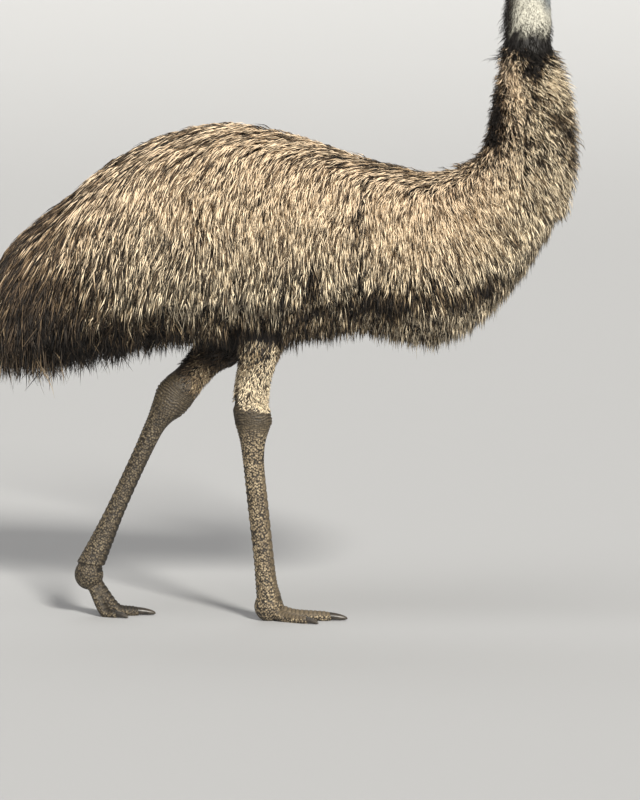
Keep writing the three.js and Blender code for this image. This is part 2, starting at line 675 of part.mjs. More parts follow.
const shins = [RIGHT_LEG, LEFT_LEG].map((leg) => shin(leg, GAP));
const wings = [RIGHT, LEFT].map((side) => wingForm(side, GAP));
const order = ["neck_lower", "neck_base", "torso", "tail"];
order.forEach((name, i) => {
  const { core, locks } = bird[name];
  const cores = order.filter((other) => other !== name).map((other) => bird[other].coreGrown);
  const over = order.slice(0, i).map((other) => bird[other].locksGrown);
  if (name === "torso") over.push(...wings);
  const made = core.add(locks.subtract(joined(cores)));
  add(name, made.subtract(joined([...over, ...shins])), "plumage");
});
add("neck_upper", neckUpper.subtract(joined([skull(GAP), bird.neck_lower.locksGrown])), "throat");
add("head", headSolid(), "face");
add("bill_upper", upperBill(), "bill");
add("bill_lower", lowerBill(), "bill");

for (const leg of [RIGHT_LEG, LEFT_LEG]) {
  const hand = leg.side === RIGHT ? "right" : "left";
  add(`eye_${hand}`, eyeBall(leg.side), "eye");
  add(`wing_${hand}`, wingForm(leg.side).subtract(bird.neck_base.locksGrown), "plumage");
  add(`leg_${hand}_shin`, shin(leg).subtract(bird.torso.coreGrown), "shin");
  add(`leg_${hand}_shank`, shank(leg), "scaled");
  const toes = Object.entries(TOES);
  const blockGrown = block(leg, GAP);
  add(`foot_${hand}`, block(leg), "scaled");
  for (const [place, toe] of toes) {
    const sooner = toes.slice(0, toes.findIndex(([other]) => other === place));
    const clear = [blockGrown, ...sooner.map(([, other]) => toeForm(leg, other, GAP))];
    add(`toe_${hand}_${place}`, toeForm(leg, toe).subtract(joined(clear)), "scaled");
    add(`claw_${hand}_${place}`, clawForm(leg, toe).subtract(toeForm(leg, toe, GAP)), "claw");
  }
}

export default emu;
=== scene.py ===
"""A life-size emu in mid-stride, its plumage, skin, bill, eyes and claws laid over its solid parts."""

import logging
import math
from dataclasses import dataclass, field
from enum import Enum
from typing import Any

import bpy
import numpy as np
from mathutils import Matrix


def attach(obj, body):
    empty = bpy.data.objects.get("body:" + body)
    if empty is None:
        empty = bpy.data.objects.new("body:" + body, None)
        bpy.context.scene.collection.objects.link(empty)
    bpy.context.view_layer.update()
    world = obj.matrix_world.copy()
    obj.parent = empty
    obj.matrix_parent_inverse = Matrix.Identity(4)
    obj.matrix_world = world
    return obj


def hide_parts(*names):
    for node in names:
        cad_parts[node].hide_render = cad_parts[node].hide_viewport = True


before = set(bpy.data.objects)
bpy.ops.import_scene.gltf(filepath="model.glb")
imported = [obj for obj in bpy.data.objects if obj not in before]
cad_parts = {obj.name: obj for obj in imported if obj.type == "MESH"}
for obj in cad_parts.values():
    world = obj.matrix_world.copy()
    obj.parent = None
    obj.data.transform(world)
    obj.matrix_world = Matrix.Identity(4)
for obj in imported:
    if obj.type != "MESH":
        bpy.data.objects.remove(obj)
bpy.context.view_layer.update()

log = logging.getLogger("emu")
Array = np.ndarray
Stops = tuple[tuple[float, tuple[float, ...]], ...]
Rows = tuple[tuple[float, ...], ...]
MM = 0.001
PHOTO_WIDTH = 640
SHORT = (0, 0.55, 1)


class Side(Enum):
    """The bird's two sides, as signs of y."""

    RIGHT = -1
    LEFT = 1

    @property
    def hand(self) -> str:
        """The side's name in the names of pieces and solid parts."""
        return self.name.lower()


# Numbers and shapes


def smooth(low: float, high: float, x: Array) -> Array:
    """The smooth step from 0 at low to 1 at high: t * t * (3 - 2 * t).

    Args:
        low: where the step starts.
        high: where it ends.
        x: places.

    Returns:
        Values from 0 to 1.
    """
    t = np.clip((np.asarray(x, float) - low) / (high - low), 0, 1)
    return t * t * (3 - 2 * t)


def fade(low: float, high: float, x: Array) -> Array:
    """The smooth step the other way: from 1 at low to 0 at high."""
    return 1 - smooth(low, high, x)


def bell(x: Array, middle: Array | float, width: float) -> Array:
    """The bell curve exp(-((x - middle) / width) squared): 1 at the middle, 0 far from it."""
    return np.exp(-(((x - middle) / width) ** 2))


def unit(v: Array) -> Array:
    """The vectors, each divided by its length.

    Args:
        v: vectors in the last axis.

    Returns:
        Vectors of length 1.
    """
    return v / np.maximum(np.linalg.norm(v, axis=-1, keepdims=True), 1e-12)


def dot(a: Array, b: Array) -> Array:
    """The dot products of two sets of vectors, with the last axis kept.

    Args:
        a: vectors.
        b: vectors.

    Returns:
        Products, with a last axis of 1.
    """
    return np.sum(a * b, axis=-1, keepdims=True)


def along(rows: Array, s: Array) -> Array:
    """The Catmull-Rom value at places along a table's rows, with the end rows repeated.

    Args:
        rows: the table.
        s: places, in rows.

    Returns:
        Rows between the table's rows.
    """
    s = np.asarray(s, float)
    last = len(rows) - 1
    i = np.clip(np.floor(s).astype(int), 0, last - 1)
    t = (s - i)[..., None]
    a = rows[np.clip(i - 1, 0, last)]
    b = rows[i]
    c = rows[i + 1]
    d = rows[np.clip(i + 2, 0, last)]
    return b + 0.5 * t * (c - a + t * (2 * a - 5 * b + 4 * c - d + t * (3 * (b - c) + d - a)))


def at(table: Rows, x: Array) -> Array:
    """The Catmull-Rom value at x of a table whose first column is x.

    Args:
        table: the table.
        x: values of the first column.

    Returns:
        Rows between the table's rows.
    """
    rows = np.array(table, float)
    return along(rows, np.interp(x, rows[:, 0], np.arange(len(rows))))


def straight(table: Rows, x: Array) -> Array:
    """The straight-line value at x of a table whose first column is x, without that column.

    Args:
        table: the table.
        x: values of the first column.

    Returns:
        The other columns at x, in the first axis.
    """
    first, *others = np.array(table, float).T
    return np.stack([np.interp(x, first, column) for column in others])


def waves(points: Array, size: float, seed: int) -> Array:
    """A soft random field: the mean of eight sine waves that run in random directions.

    Args:
        points: places in metres.
        size: the waves' length in metres.
        seed: the draw's seed.

    Returns:
        Values between about -1 and 1.
    """
    draw = np.random.default_rng(seed)
    ways = unit(draw.normal(size=(8, 3))) * draw.uniform(0.7, 1.5, (8, 1)) * 2 * np.pi / size
    phases = draw.uniform(0, 2 * np.pi, 8)
    return np.sin(points @ ways.T + phases).sum(-1) / 3.2


def inside(uv: Array) -> Array:
    """Places on a map, kept just inside its unit square."""
    return np.clip(uv, 0.002, 0.998)


def circle(count: int) -> Array:
    """Angles evenly round a circle, from 0."""
    return np.linspace(0, 2 * math.pi, count, endpoint=False)


@dataclass
class Shape:
    """Faces as arrays: points, the corners of all faces in a row, and each face's number of corners."""

    points: Array
    corners: Array
    sizes: Array

    def spans(self) -> tuple[Array, Array]:
        """For each corner, its face's first and last place in the row of corners."""
        ends = np.cumsum(self.sizes)
        return np.repeat(ends - self.sizes, self.sizes), np.repeat(ends - 1, self.sizes)

    def volume(self) -> float:
        """Six times the signed volume: the sum over faces of first point . (second x third) fans.

        Returns:
            The volume, negative where the faces are turned inward.
        """
        starts = np.concatenate(([0], np.cumsum(self.sizes)[:-1]))
        total = 0.0
        for k in range(1, int(self.sizes.max()) - 1):
            faces = starts[self.sizes > k + 1]
            a = self.points[self.corners[faces]]
            b = self.points[self.corners[faces + k]]
            c = self.points[self.corners[faces + k + 1]]
            total += float(np.sum(a * np.cross(b, c)))
        return total

    def outward(self) -> "Shape":
        """The same shape with its faces turned outward."""
        if self.volume() >= 0:
            return self
        starts, ends = self.spans()
        order = starts + ends - np.arange(len(self.corners))
        return Shape(self.points, self.corners[order], self.sizes)

    def mesh(self, name: str) -> bpy.types.Mesh:
        """A smooth mesh of this shape.

        Args:
            name: the mesh's name.

        Returns:
            The mesh.
        """
        mesh = bpy.data.meshes.new(name)
        mesh.vertices.add(len(self.points))
        mesh.vertices.foreach_set("co", self.points.astype(np.float32).ravel())
        mesh.loops.add(len(self.corners))
        mesh.loops.foreach_set("vertex_index", self.corners.astype(np.int32))
        mesh.polygons.add(len(self.sizes))
        starts = np.cumsum(self.sizes) - self.sizes
        mesh.polygons.foreach_set("loop_start", starts.astype(np.int32))
        mesh.polygons.foreach_set("use_smooth", np.ones(len(self.sizes), bool))
        mesh.update(calc_edges=True)
        return mesh


def merged(shapes: list[Shape]) -> Shape:
    """Several shapes in one, unjoined.

    Args:
        shapes: the shapes.

    Returns:
        One shape.
    """
    shifts = np.cumsum([0] + [len(shape.points) for shape in shapes[:-1]])
    return Shape(
        np.concatenate([shape.points for shape in shapes]),
        np.concatenate([shape.corners + shift for shape, shift in zip(shapes, shifts)]),
        np.concatenate([shape.sizes for shape in shapes]),
    )


def tube(rings: Array) -> Shape:
    """A closed tube: quads between neighbouring rings, and a fan round each end ring's middle.

    Args:
        rings: points by ring and by place round the ring.

    Returns:
        The tube, with its faces outward.
    """
    count, sides, _ = rings.shape
    points = np.concatenate([rings.reshape(-1, 3), rings[0].mean(0)[None], rings[-1].mean(0)[None]])
    index = np.arange(count * sides).reshape(count, sides)
    onward = np.roll(index, -1, axis=1)
    quads = np.stack([index[:-1], onward[:-1], onward[1:], index[1:]], -1).reshape(-1)
    first = np.full(sides, count * sides)
    low = np.stack([index[0], first, onward[0]], -1).reshape(-1)
    high = np.stack([onward[-1], first + 1, index[-1]], -1).reshape(-1)
    sizes = np.concatenate([np.full((count - 1) * sides, 4), np.full(2 * sides, 3)])
    return Shape(points, np.concatenate([quads, low, high]), sizes).outward()


def ball(middle: tuple[float, float, float], radii: tuple[float, float, float], facets: int) -> Shape:
    """A ball: circles of radius sin(a) at heights cos(a), stretched by its radii.

    Args:
        middle: the middle.
        radii: the half sizes along x, y and z.
        facets: how many points round each circle.

    Returns:
        The ball.
    """
    rise = np.linspace(0.02, math.pi - 0.02, facets // 2)[:, None]
    turn = circle(facets)[None]
    rings = [np.sin(rise) * np.cos(turn), np.sin(rise) * np.sin(turn), np.cos(rise) + 0 * turn]
    return tube(np.stack(rings, -1) * np.array(radii) + np.array(middle))


def fused(shapes: list[Shape], grain: float, name: str) -> Shape:
    """Shapes joined into one surface of even grain by a voxel remesh.

    Args:
        shapes: closed shapes that overlap.
        grain: the voxels' size in metres.
        name: a name for the work's objects.

    Returns:
        The joined surface.
    """
    thing = bpy.data.objects.new(name, merged(shapes).mesh(name))
    bpy.context.scene.collection.objects.link(thing)
    remesh = thing.modifiers.new("grain", "REMESH")
    remesh.mode = "VOXEL"
    remesh.voxel_size = grain
    result = taken(thing)
    bpy.data.objects.remove(thing)
    return result


def taken(thing: bpy.types.Object) -> Shape:
    """The shape of an object with its modifiers applied.

    Args:
        thing: the object.

    Returns:
        Its shape as arrays.
    """
    graph = bpy.context.evaluated_depsgraph_get()
    mesh = bpy.data.meshes.new_from_object(thing.evaluated_get(graph))
    points = np.empty(len(mesh.vertices) * 3, np.float32)
    mesh.vertices.foreach_get("co", points)
    corners = np.empty(len(mesh.loops), np.int32)
    mesh.loops.foreach_get("vertex_index", corners)
    starts = np.empty(len(mesh.polygons), np.int32)
    mesh.polygons.foreach_get("loop_start", starts)
    bpy.data.meshes.remove(mesh)
    sizes = np.diff(np.append(starts, len(corners)))
    return Shape(points.reshape(-1, 3).astype(float), corners, sizes)


def thinned(shape: Shape, share: float, name: str) -> Shape:
    """A surface with fewer faces: its least needed edges are drawn together, so flat places lose most.

    Args:
        shape: the surface.
        share: the share of its triangles that stays.
        name: a name for the work's objects.

    Returns:
        The thinned surface.
    """
    thing = bpy.data.objects.new(name, shape.mesh(name))
    bpy.context.scene.collection.objects.link(thing)
    thin = thing.modifiers.new("thin", "DECIMATE")
    thin.ratio = share
    result = taken(thing)
    log.info("%s: %d faces", name, len(result.sizes))
    bpy.data.objects.remove(thing)
    return result


def edges_of(shape: Shape) -> Array:
    """Each edge of a shape as its two points' numbers, once.

    Args:
        shape: the shape.

    Returns:
        Pairs of point numbers.
    """
    starts, ends = shape.spans()
    places = np.arange(len(shape.corners))
    onward = shape.corners[np.where(places == ends, starts, places + 1)]
    pairs = np.sort(np.stack([shape.corners, onward], -1), axis=1)
    return np.unique(pairs, axis=0)


def relaxed(shape: Shape, rounds: int, weight: Array | float = 1.0) -> Shape:
    """A shape whose points are moved towards the mean of their neighbours, round by round.

    Args:
        shape: the shape.
        rounds: how many rounds.
        weight: the share of the way that each point goes.

    Returns:
        The smoother shape.
    """
    edges = edges_of(shape)
    count = np.bincount(edges.ravel(), minlength=len(shape.points))[:, None]
    points = shape.points.copy()
    share = np.broadcast_to(np.asarray(weight, float).reshape(-1, 1), (len(points), 1))
    for _ in range(rounds):
        total = np.zeros_like(points)
        for k in range(3):
            total[:, k] += np.bincount(edges[:, 0], points[edges[:, 1], k], len(points))
            total[:, k] += np.bincount(edges[:, 1], points[edges[:, 0], k], len(points))
        points += share * (total / np.maximum(count, 1) - points)
    return Shape(points, shape.corners, shape.sizes)


def normals(shape: Shape) -> Array:
    """The outward directions at a shape's points: the sum of the crosses of their faces' edges.

    Args:
        shape: the shape.

    Returns:
        Unit vectors.
    """
    starts, ends = shape.spans()
    places = np.arange(len(shape.corners))
    here = shape.points[shape.corners]
    ahead = shape.points[shape.corners[np.where(places == ends, starts, places + 1)]]
    behind = shape.points[shape.corners[np.where(places == starts, ends, places - 1)]]
    cross = np.cross(ahead - here, behind - here)
    total = np.stack([np.bincount(shape.corners, cross[:, k], len(shape.points)) for k in range(3)], -1)
    return unit(total)


def floats(mesh: bpy.types.Mesh, name: str, values: Array) -> None:
    """Gives a mesh's points a number each, under a name.

    Args:
        mesh: the mesh.
        name: the attribute's name.
        values: a number for each point.
    """
    attribute = mesh.attributes.new(name, "FLOAT", "POINT")
    attribute.data.foreach_set("value", np.asarray(values, np.float32).ravel())


def shown(thing: bpy.types.Object, nodes: tuple[str, ...] = ()) -> bpy.types.Object:
    """Puts a finished piece in the scene, on its body and in place of its solid parts.

    Args:
        thing: the piece.
        nodes: the solid parts it stands for.

    Returns:
        The piece.
    """
    bpy.context.scene.collection.objects.link(thing)
    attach(thing, "root")
    if nodes:
        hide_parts(*nodes)
    faces = len(thing.data.loops) - 2 * len(thing.data.polygons)
    log.info("%s: %d triangles", thing.name, faces)
    return thing


# Finishes


class Recipe:
    """A material's nodes, added one after another."""

    def __init__(self, name: str) -> None:
        """Starts a material with only its shader and output.

        Args:
            name: the material's name.
        """
        self.material = bpy.data.materials.new(name)
        self.material.use_nodes = True
        self.tree = self.material.node_tree
        self.shader = self.tree.nodes["Principled BSDF"]

    def add(self, kind: str, inputs: dict[str, Any] | None = None, **settings: Any) -> bpy.types.Node:
        """Adds a node.

        Args:
            kind: the node's type.
            inputs: values or sockets for its inputs, by name or number.
            **settings: its own settings.

        Returns:
            The node.
        """
        node = self.tree.nodes.new(kind)
        for key, value in settings.items():
            setattr(node, key, value)
        for key, value in (inputs or {}).items():
            self.feed(node.inputs[key], value)
        return node

    def feed(self, socket: bpy.types.NodeSocket, value: Any) -> None:
        """Links a socket to an input, or sets the input's value.

        Args:
            socket: the input.
            value: an output socket or a plain value.
        """
        if isinstance(value, bpy.types.NodeSocket):
            self.tree.links.new(value, socket)
        else:
            socket.default_value = value

    def number(self, name: str) -> bpy.types.NodeSocket:
        """The value of a named attribute of the mesh."""
        return self.add("ShaderNodeAttribute", attribute_name=name).outputs["Fac"]

    def maths(self, kind: str, a: Any, b: Any = 0.0, clamp: bool = False) -> bpy.types.NodeSocket:
        """A sum, product or other operation on two numbers.

        Args:
            kind: the operation.
            a: the first number.
            b: the second.
            clamp: whether the result is kept between 0 and 1.

        Returns:
            The result's socket.
        """
        return self.add("ShaderNodeMath", {0: a, 1: b}, operation=kind, use_clamp=clamp).outputs[0]

    def times(self, a: Any, b: Any, clamp: bool = False) -> bpy.types.NodeSocket:
        """The product of two numbers."""
        return self.maths("MULTIPLY", a, b, clamp)

    def plus(self, a: Any, b: Any, clamp: bool = False) -> bpy.types.NodeSocket:
        """The sum of two numbers."""
        return self.maths("ADD", a, b, clamp)

    def minus(self, a: Any, b: Any, clamp: bool = False) -> bpy.types.NodeSocket:
        """The first number less the second."""
        return self.maths("SUBTRACT", a, b, clamp)

    def ramp(self, value: Any, stops: Stops) -> bpy.types.NodeSocket:
        """A colour read from stops.

        Args:
            value: the place along the ramp.
            stops: places and colours.

        Returns:
            The colour's socket.
        """
        node = self.add("ShaderNodeValToRGB", {0: value})
        band = node.color_ramp
        while len(band.elements) < len(stops):
            band.elements.new(0.5)
        for element, (place, colour) in zip(band.elements, stops):
            element.position = place
            element.color = (*colour, 1)
        return node.outputs[0]

    def blend(self, share: Any, a: Any, b: Any, kind: str = "MIX") -> bpy.types.NodeSocket:
        """A mix of two colours.

        Args:
            share: the second colour's share.
            a: the first colour.
            b: the second.
            kind: the way they mix.

        Returns:
            The colour's socket.
        """
        node = self.add("ShaderNodeMix", data_type="RGBA", blend_type=kind)
        self.feed(node.inputs[0], share)
        self.feed(node.inputs[6], a)
        self.feed(node.inputs[7], b)
        return node.outputs[2]

    def noise(self, scale: float, detail: float = 3.0, vector: Any = None, rough: float = 0.55) -> Any:
        """A noise value.

        Args:
            scale: how many features a metre.
            detail: how many finer layers.
            vector: where it is read, or the object's own coordinates.
            rough: the finer layers' strength.

        Returns:
            The value's socket.
        """
        place = vector or self.place()
        inputs = {"Vector": place, "Scale": scale, "Detail": detail, "Roughness": rough}
        return self.add("ShaderNodeTexNoise", inputs).outputs["Fac"]

    def place(self) -> bpy.types.NodeSocket:
        """The object's own coordinates."""
        return self.add("ShaderNodeTexCoord").outputs["Object"]

    def bump(self, height: Any, depth: float, strength: float = 1.0, under: Any = None) -> Any:
        """A bump from a height.

        Args:
            height: the height, from 0 to 1.
            depth: what 1 stands for, in metres.
            strength: the bump's share.
            under: a bump that this one lies on.

        Returns:
            The normal's socket.
        """
        inputs = {"Height": height, "Distance": depth, "Strength": strength}
        if under is not None:
            inputs["Normal"] = under
        return self.add("ShaderNodeBump", inputs).outputs[0]


@dataclass(frozen=True)
class PlumageFinish:
    """Hair-like feathers: dark gaps, brown shafts and cream streaks, read from each strand's tone."""

    name: str = "plumage"
    roughness: float = 0.52
    gloss: float = 0.22
    stops: Stops = (
        (0.0, (0.016, 0.0145, 0.0135)),
        (0.22, (0.05, 0.041, 0.034)),
        (0.42, (0.095, 0.069, 0.047)),
        (0.6, (0.22, 0.16, 0.1)),
        (0.8, (0.5, 0.39, 0.25)),
        (1.0, (0.96, 0.82, 0.6)),
    )

    def material(self) -> bpy.types.Material:
        """The finish as a material.

        Returns:
            The material.
        """
        recipe = Recipe(self.name)
        uv = recipe.add("ShaderNodeUVMap", uv_map="Strand").outputs[0]
        barbs = recipe.noise(1.0, 2.0, uv)
        tone = recipe.plus(recipe.number("tone"), recipe.times(barbs, 0.24))
        tone = recipe.minus(tone, 0.12, clamp=True)
        colour = recipe.ramp(tone, self.stops)
        rosy = recipe.blend(1.0, colour, (1.0, 0.92, 0.9, 1), "MULTIPLY")
        colour = recipe.blend(recipe.number("rosy"), colour, rosy)
        recipe.feed(recipe.shader.inputs["Base Color"], colour)
        recipe.feed(recipe.shader.inputs["Roughness"], self.roughness)
        recipe.feed(recipe.shader.inputs["Specular IOR Level"], self.gloss)
        recipe.feed(recipe.shader.inputs["Normal"], recipe.bump(barbs, 0.0006, 0.6))
        return recipe.material


@dataclass(frozen=True)
class SkinFinish:
    """Bare skin, scales and the skin under the plumage, painted dark as shade in the plumage's gaps, told
    apart by the skin's own numbers.
    """

    name: str = "skin"
    roughness: float = 0.62
    pebbles: float = 225.0
    uneven: float = 0.72
    round: float = 1.9
    middling: float = 0.36
    turned: tuple[float, float, float] = (0.5, 0.7, 0.9)
    under: Stops = ((0.0, (0.006, 0.005, 0.0045)), (0.5, (0.05, 0.037, 0.028)), (1.0, (0.2, 0.15, 0.105)))
    speckle: Stops = ((0.34, (0.06, 0.056, 0.05)), (0.43, (0.36, 0.35, 0.3)), (0.6, (0.56, 0.55, 0.47)))
    face: Stops = ((0.3, (0.03, 0.036, 0.044)), (0.52, (0.11, 0.135, 0.16)), (0.75, (0.27, 0.32, 0.36)))
    scales: Stops = ((0.2, (0.09, 0.068, 0.045)), (0.5, (0.24, 0.185, 0.115)), (0.8, (0.5, 0.41, 0.27)))
    shadow: Stops = ((0.0, (0.03, 0.03, 0.03)), (1.0, (1, 1, 1)))
    edge: Stops = ((0.3, (1, 1, 1)), (0.7, (0, 0, 0)))
    bead: tuple[float, ...] = (0.4, 0.31, 0.18, 1)
    groove: tuple[float, ...] = (0.016, 0.012, 0.008, 1)
    black: tuple[float, ...] = (0.012, 0.011, 0.011, 1)

    def material(self) -> bpy.types.Material:
        """The finish as a material.

        Returns:
            The material.
        """
        recipe = Recipe(self.name)
        place = recipe.place()
        mottle = recipe.noise(26.0, 4.0, place)
        fine = recipe.noise(420.0, 3.0, place)
        # Under the plumage the skin is taken down a dark ramp from the markings: painted shade in the gaps
        # between strands.
        under = recipe.plus(recipe.number("tone"), recipe.times(mottle, 0.3), clamp=True)
        under = recipe.ramp(under, self.under)
        speckle = recipe.ramp(recipe.noise(330.0, 4.0, place, 0.7), self.speckle)
        face = recipe.ramp(recipe.plus(recipe.times(mottle, 0.7), recipe.times(fine, 0.3)), self.face)
        dome, hue = self.cells(recipe, place)
        scaled = self.scaled(recipe, dome, recipe.plus(recipe.times(hue, 0.4), recipe.times(mottle, 0.55)))
        colour = recipe.blend(recipe.number("bare"), under, speckle)
        colour = recipe.blend(recipe.number("face"), colour, face)
        colour = recipe.blend(recipe.number("scaled"), colour, scaled)
        colour = recipe.blend(recipe.number("dark"), colour, self.black)
        recipe.feed(recipe.shader.inputs["Base Color"], colour)
        recipe.feed(recipe.shader.inputs["Roughness"], self.roughness)
        raised = recipe.times(recipe.times(dome, recipe.number("scaled")), recipe.number("open"))
        leather = {"Vector": place, "Scale": 520.0}
        leather = recipe.add("ShaderNodeTexVoronoi", leather, feature="DISTANCE_TO_EDGE").outputs["Distance"]
        crinkle = recipe.times(recipe.times(leather, 3.0, clamp=True), recipe.number("bare"))
        relief = recipe.bump(crinkle, 0.0005, 0.5, recipe.bump(raised, 0.0014, 1.0))
        recipe.feed(recipe.shader.inputs["Normal"], recipe.bump(fine, 0.0005, 0.7, relief))
        return recipe.material

    def cells(self, recipe: Recipe, place: Any) -> tuple[Any, Any]:
        """The small scales: 1 less a share of the squared distance from each one's middle.

        Args:
            recipe: the material's nodes.
            place: where they are read.

        Returns:
            The scales' domes and a number for each.
        """
        turned = recipe.add("ShaderNodeMapping", {"Vector": place, "Rotation": self.turned}).outputs[0]
        inputs = {"Vector": turned, "Scale": self.pebbles, "Randomness": self.uneven}
        cell = recipe.add("ShaderNodeTexVoronoi", inputs)
        hue = recipe.add("ShaderNodeSeparateColor", {0: cell.outputs["Color"]}).outputs[0]
        far = recipe.times(cell.outputs["Distance"], cell.outputs["Distance"])
        return recipe.minus(1.0, recipe.times(far, self.round), clamp=True), hue

    def scaled(self, recipe: Recipe, dome: Any, pebble: Any) -> Any:
        """The colour of scaled skin, with its dark grooves and its row of beads.

        Args:
            recipe: the material's nodes.
            dome: the small scales' domes.
            pebble: how pale each small scale is.

        Returns:
            The colour's socket.
        """
        pebble = recipe.times(recipe.minus(pebble, self.middling), recipe.number("open"))
        colour = recipe.ramp(recipe.plus(pebble, self.middling), self.scales)
        shadow = recipe.ramp(recipe.number("tone"), self.shadow)
        colour = recipe.blend(1.0, colour, shadow, "MULTIPLY")
        colour = recipe.blend(recipe.times(recipe.number("bead"), 0.9), colour, self.bead)
        groove = recipe.times(recipe.ramp(dome, self.edge), recipe.number("open"), clamp=True)
        return recipe.blend(groove, colour, self.groove)


@dataclass(frozen=True)
class HornFinish:
    """Horn of bill and claws: near black, worn paler towards its edges, with fine growth lines."""

    name: str
    dark: tuple[float, float, float]
    pale: tuple[float, float, float]
    roughness: float = 0.42
    lines: float = 900.0
    stretch: tuple[float, float, float] = (0.12, 1.0, 1.0)

    def material(self) -> bpy.types.Material:
        """The finish as a material.

        Returns:
            The material.
        """
        recipe = Recipe(self.name)
        place = recipe.place()
        cloud = recipe.noise(70.0, 4.0, place)
        stretched = recipe.add("ShaderNodeMapping", {"Vector": place, "Scale": self.stretch}).outputs[0]
        grain = recipe.noise(self.lines, 3.0, stretched)
        share = recipe.plus(recipe.times(cloud, 0.6), recipe.times(grain, 0.4))
        share = recipe.plus(share, recipe.times(recipe.number("worn"), 0.5))
        colour = recipe.ramp(share, ((0.38, self.dark), (0.62, self.pale), (1.0, self.pale)))
        # The dark number: painted shade in the nostril's pit on the bill, and darker roots on the claws.
        colour = recipe.blend(recipe.number("dark"), colour, (0.004, 0.004, 0.004, 1))
        recipe.feed(recipe.shader.inputs["Base Color"], colour)
        recipe.feed(recipe.shader.inputs["Roughness"], self.roughness)
        recipe.feed(recipe.shader.inputs["Normal"], recipe.bump(grain, 0.0003, 0.6))
        return recipe.material


@dataclass(frozen=True)
class EyeFinish:
    """A wet eye: black pupil, orange-brown iris with fine spokes, and a dark rim."""

    name: str = "eye"
    stops: Stops = (
        (0.0, (0.002, 0.002, 0.002)),
        (0.37, (0.002, 0.002, 0.002)),
        (0.41, (0.12, 0.03, 0.008)),
        (0.62, (0.38, 0.115, 0.022)),
        (0.8, (0.22, 0.058, 0.014)),
        (0.9, (0.012, 0.008, 0.006)),
    )

    def material(self) -> bpy.types.Material:
        """The finish as a material.

        Returns:
            The material.
        """
        recipe = Recipe(self.name)
        spokes = recipe.noise(14.0, 3.0, recipe.add("ShaderNodeUVMap", uv_map="Iris").outputs[0])
        radius = recipe.plus(recipe.number("radius"), recipe.times(spokes, 0.1))
        colour = recipe.ramp(recipe.minus(radius, 0.05), self.stops)
        recipe.feed(recipe.shader.inputs["Base Color"], colour)
        recipe.feed(recipe.shader.inputs["Roughness"], 0.08)
        recipe.feed(recipe.shader.inputs["Coat Weight"], 1.0)
        recipe.feed(recipe.shader.inputs["Coat Roughness"], 0.02)
        return recipe.material


@dataclass(frozen=True)
class FloorFinish:
    """A plain pale matt floor."""

    name: str = "floor"
    colour: tuple[float, float, float, float] = (0.4, 0.41, 0.43, 1)

    def material(self) -> bpy.types.Material:
        """The finish as a material.

        Returns:
            The material.
        """
        recipe = Recipe(self.name)
        recipe.feed(recipe.shader.inputs["Base Color"], self.colour)
        recipe.feed(recipe.shader.inputs["Roughness"], 0.85)
        return recipe.material


# Trunk


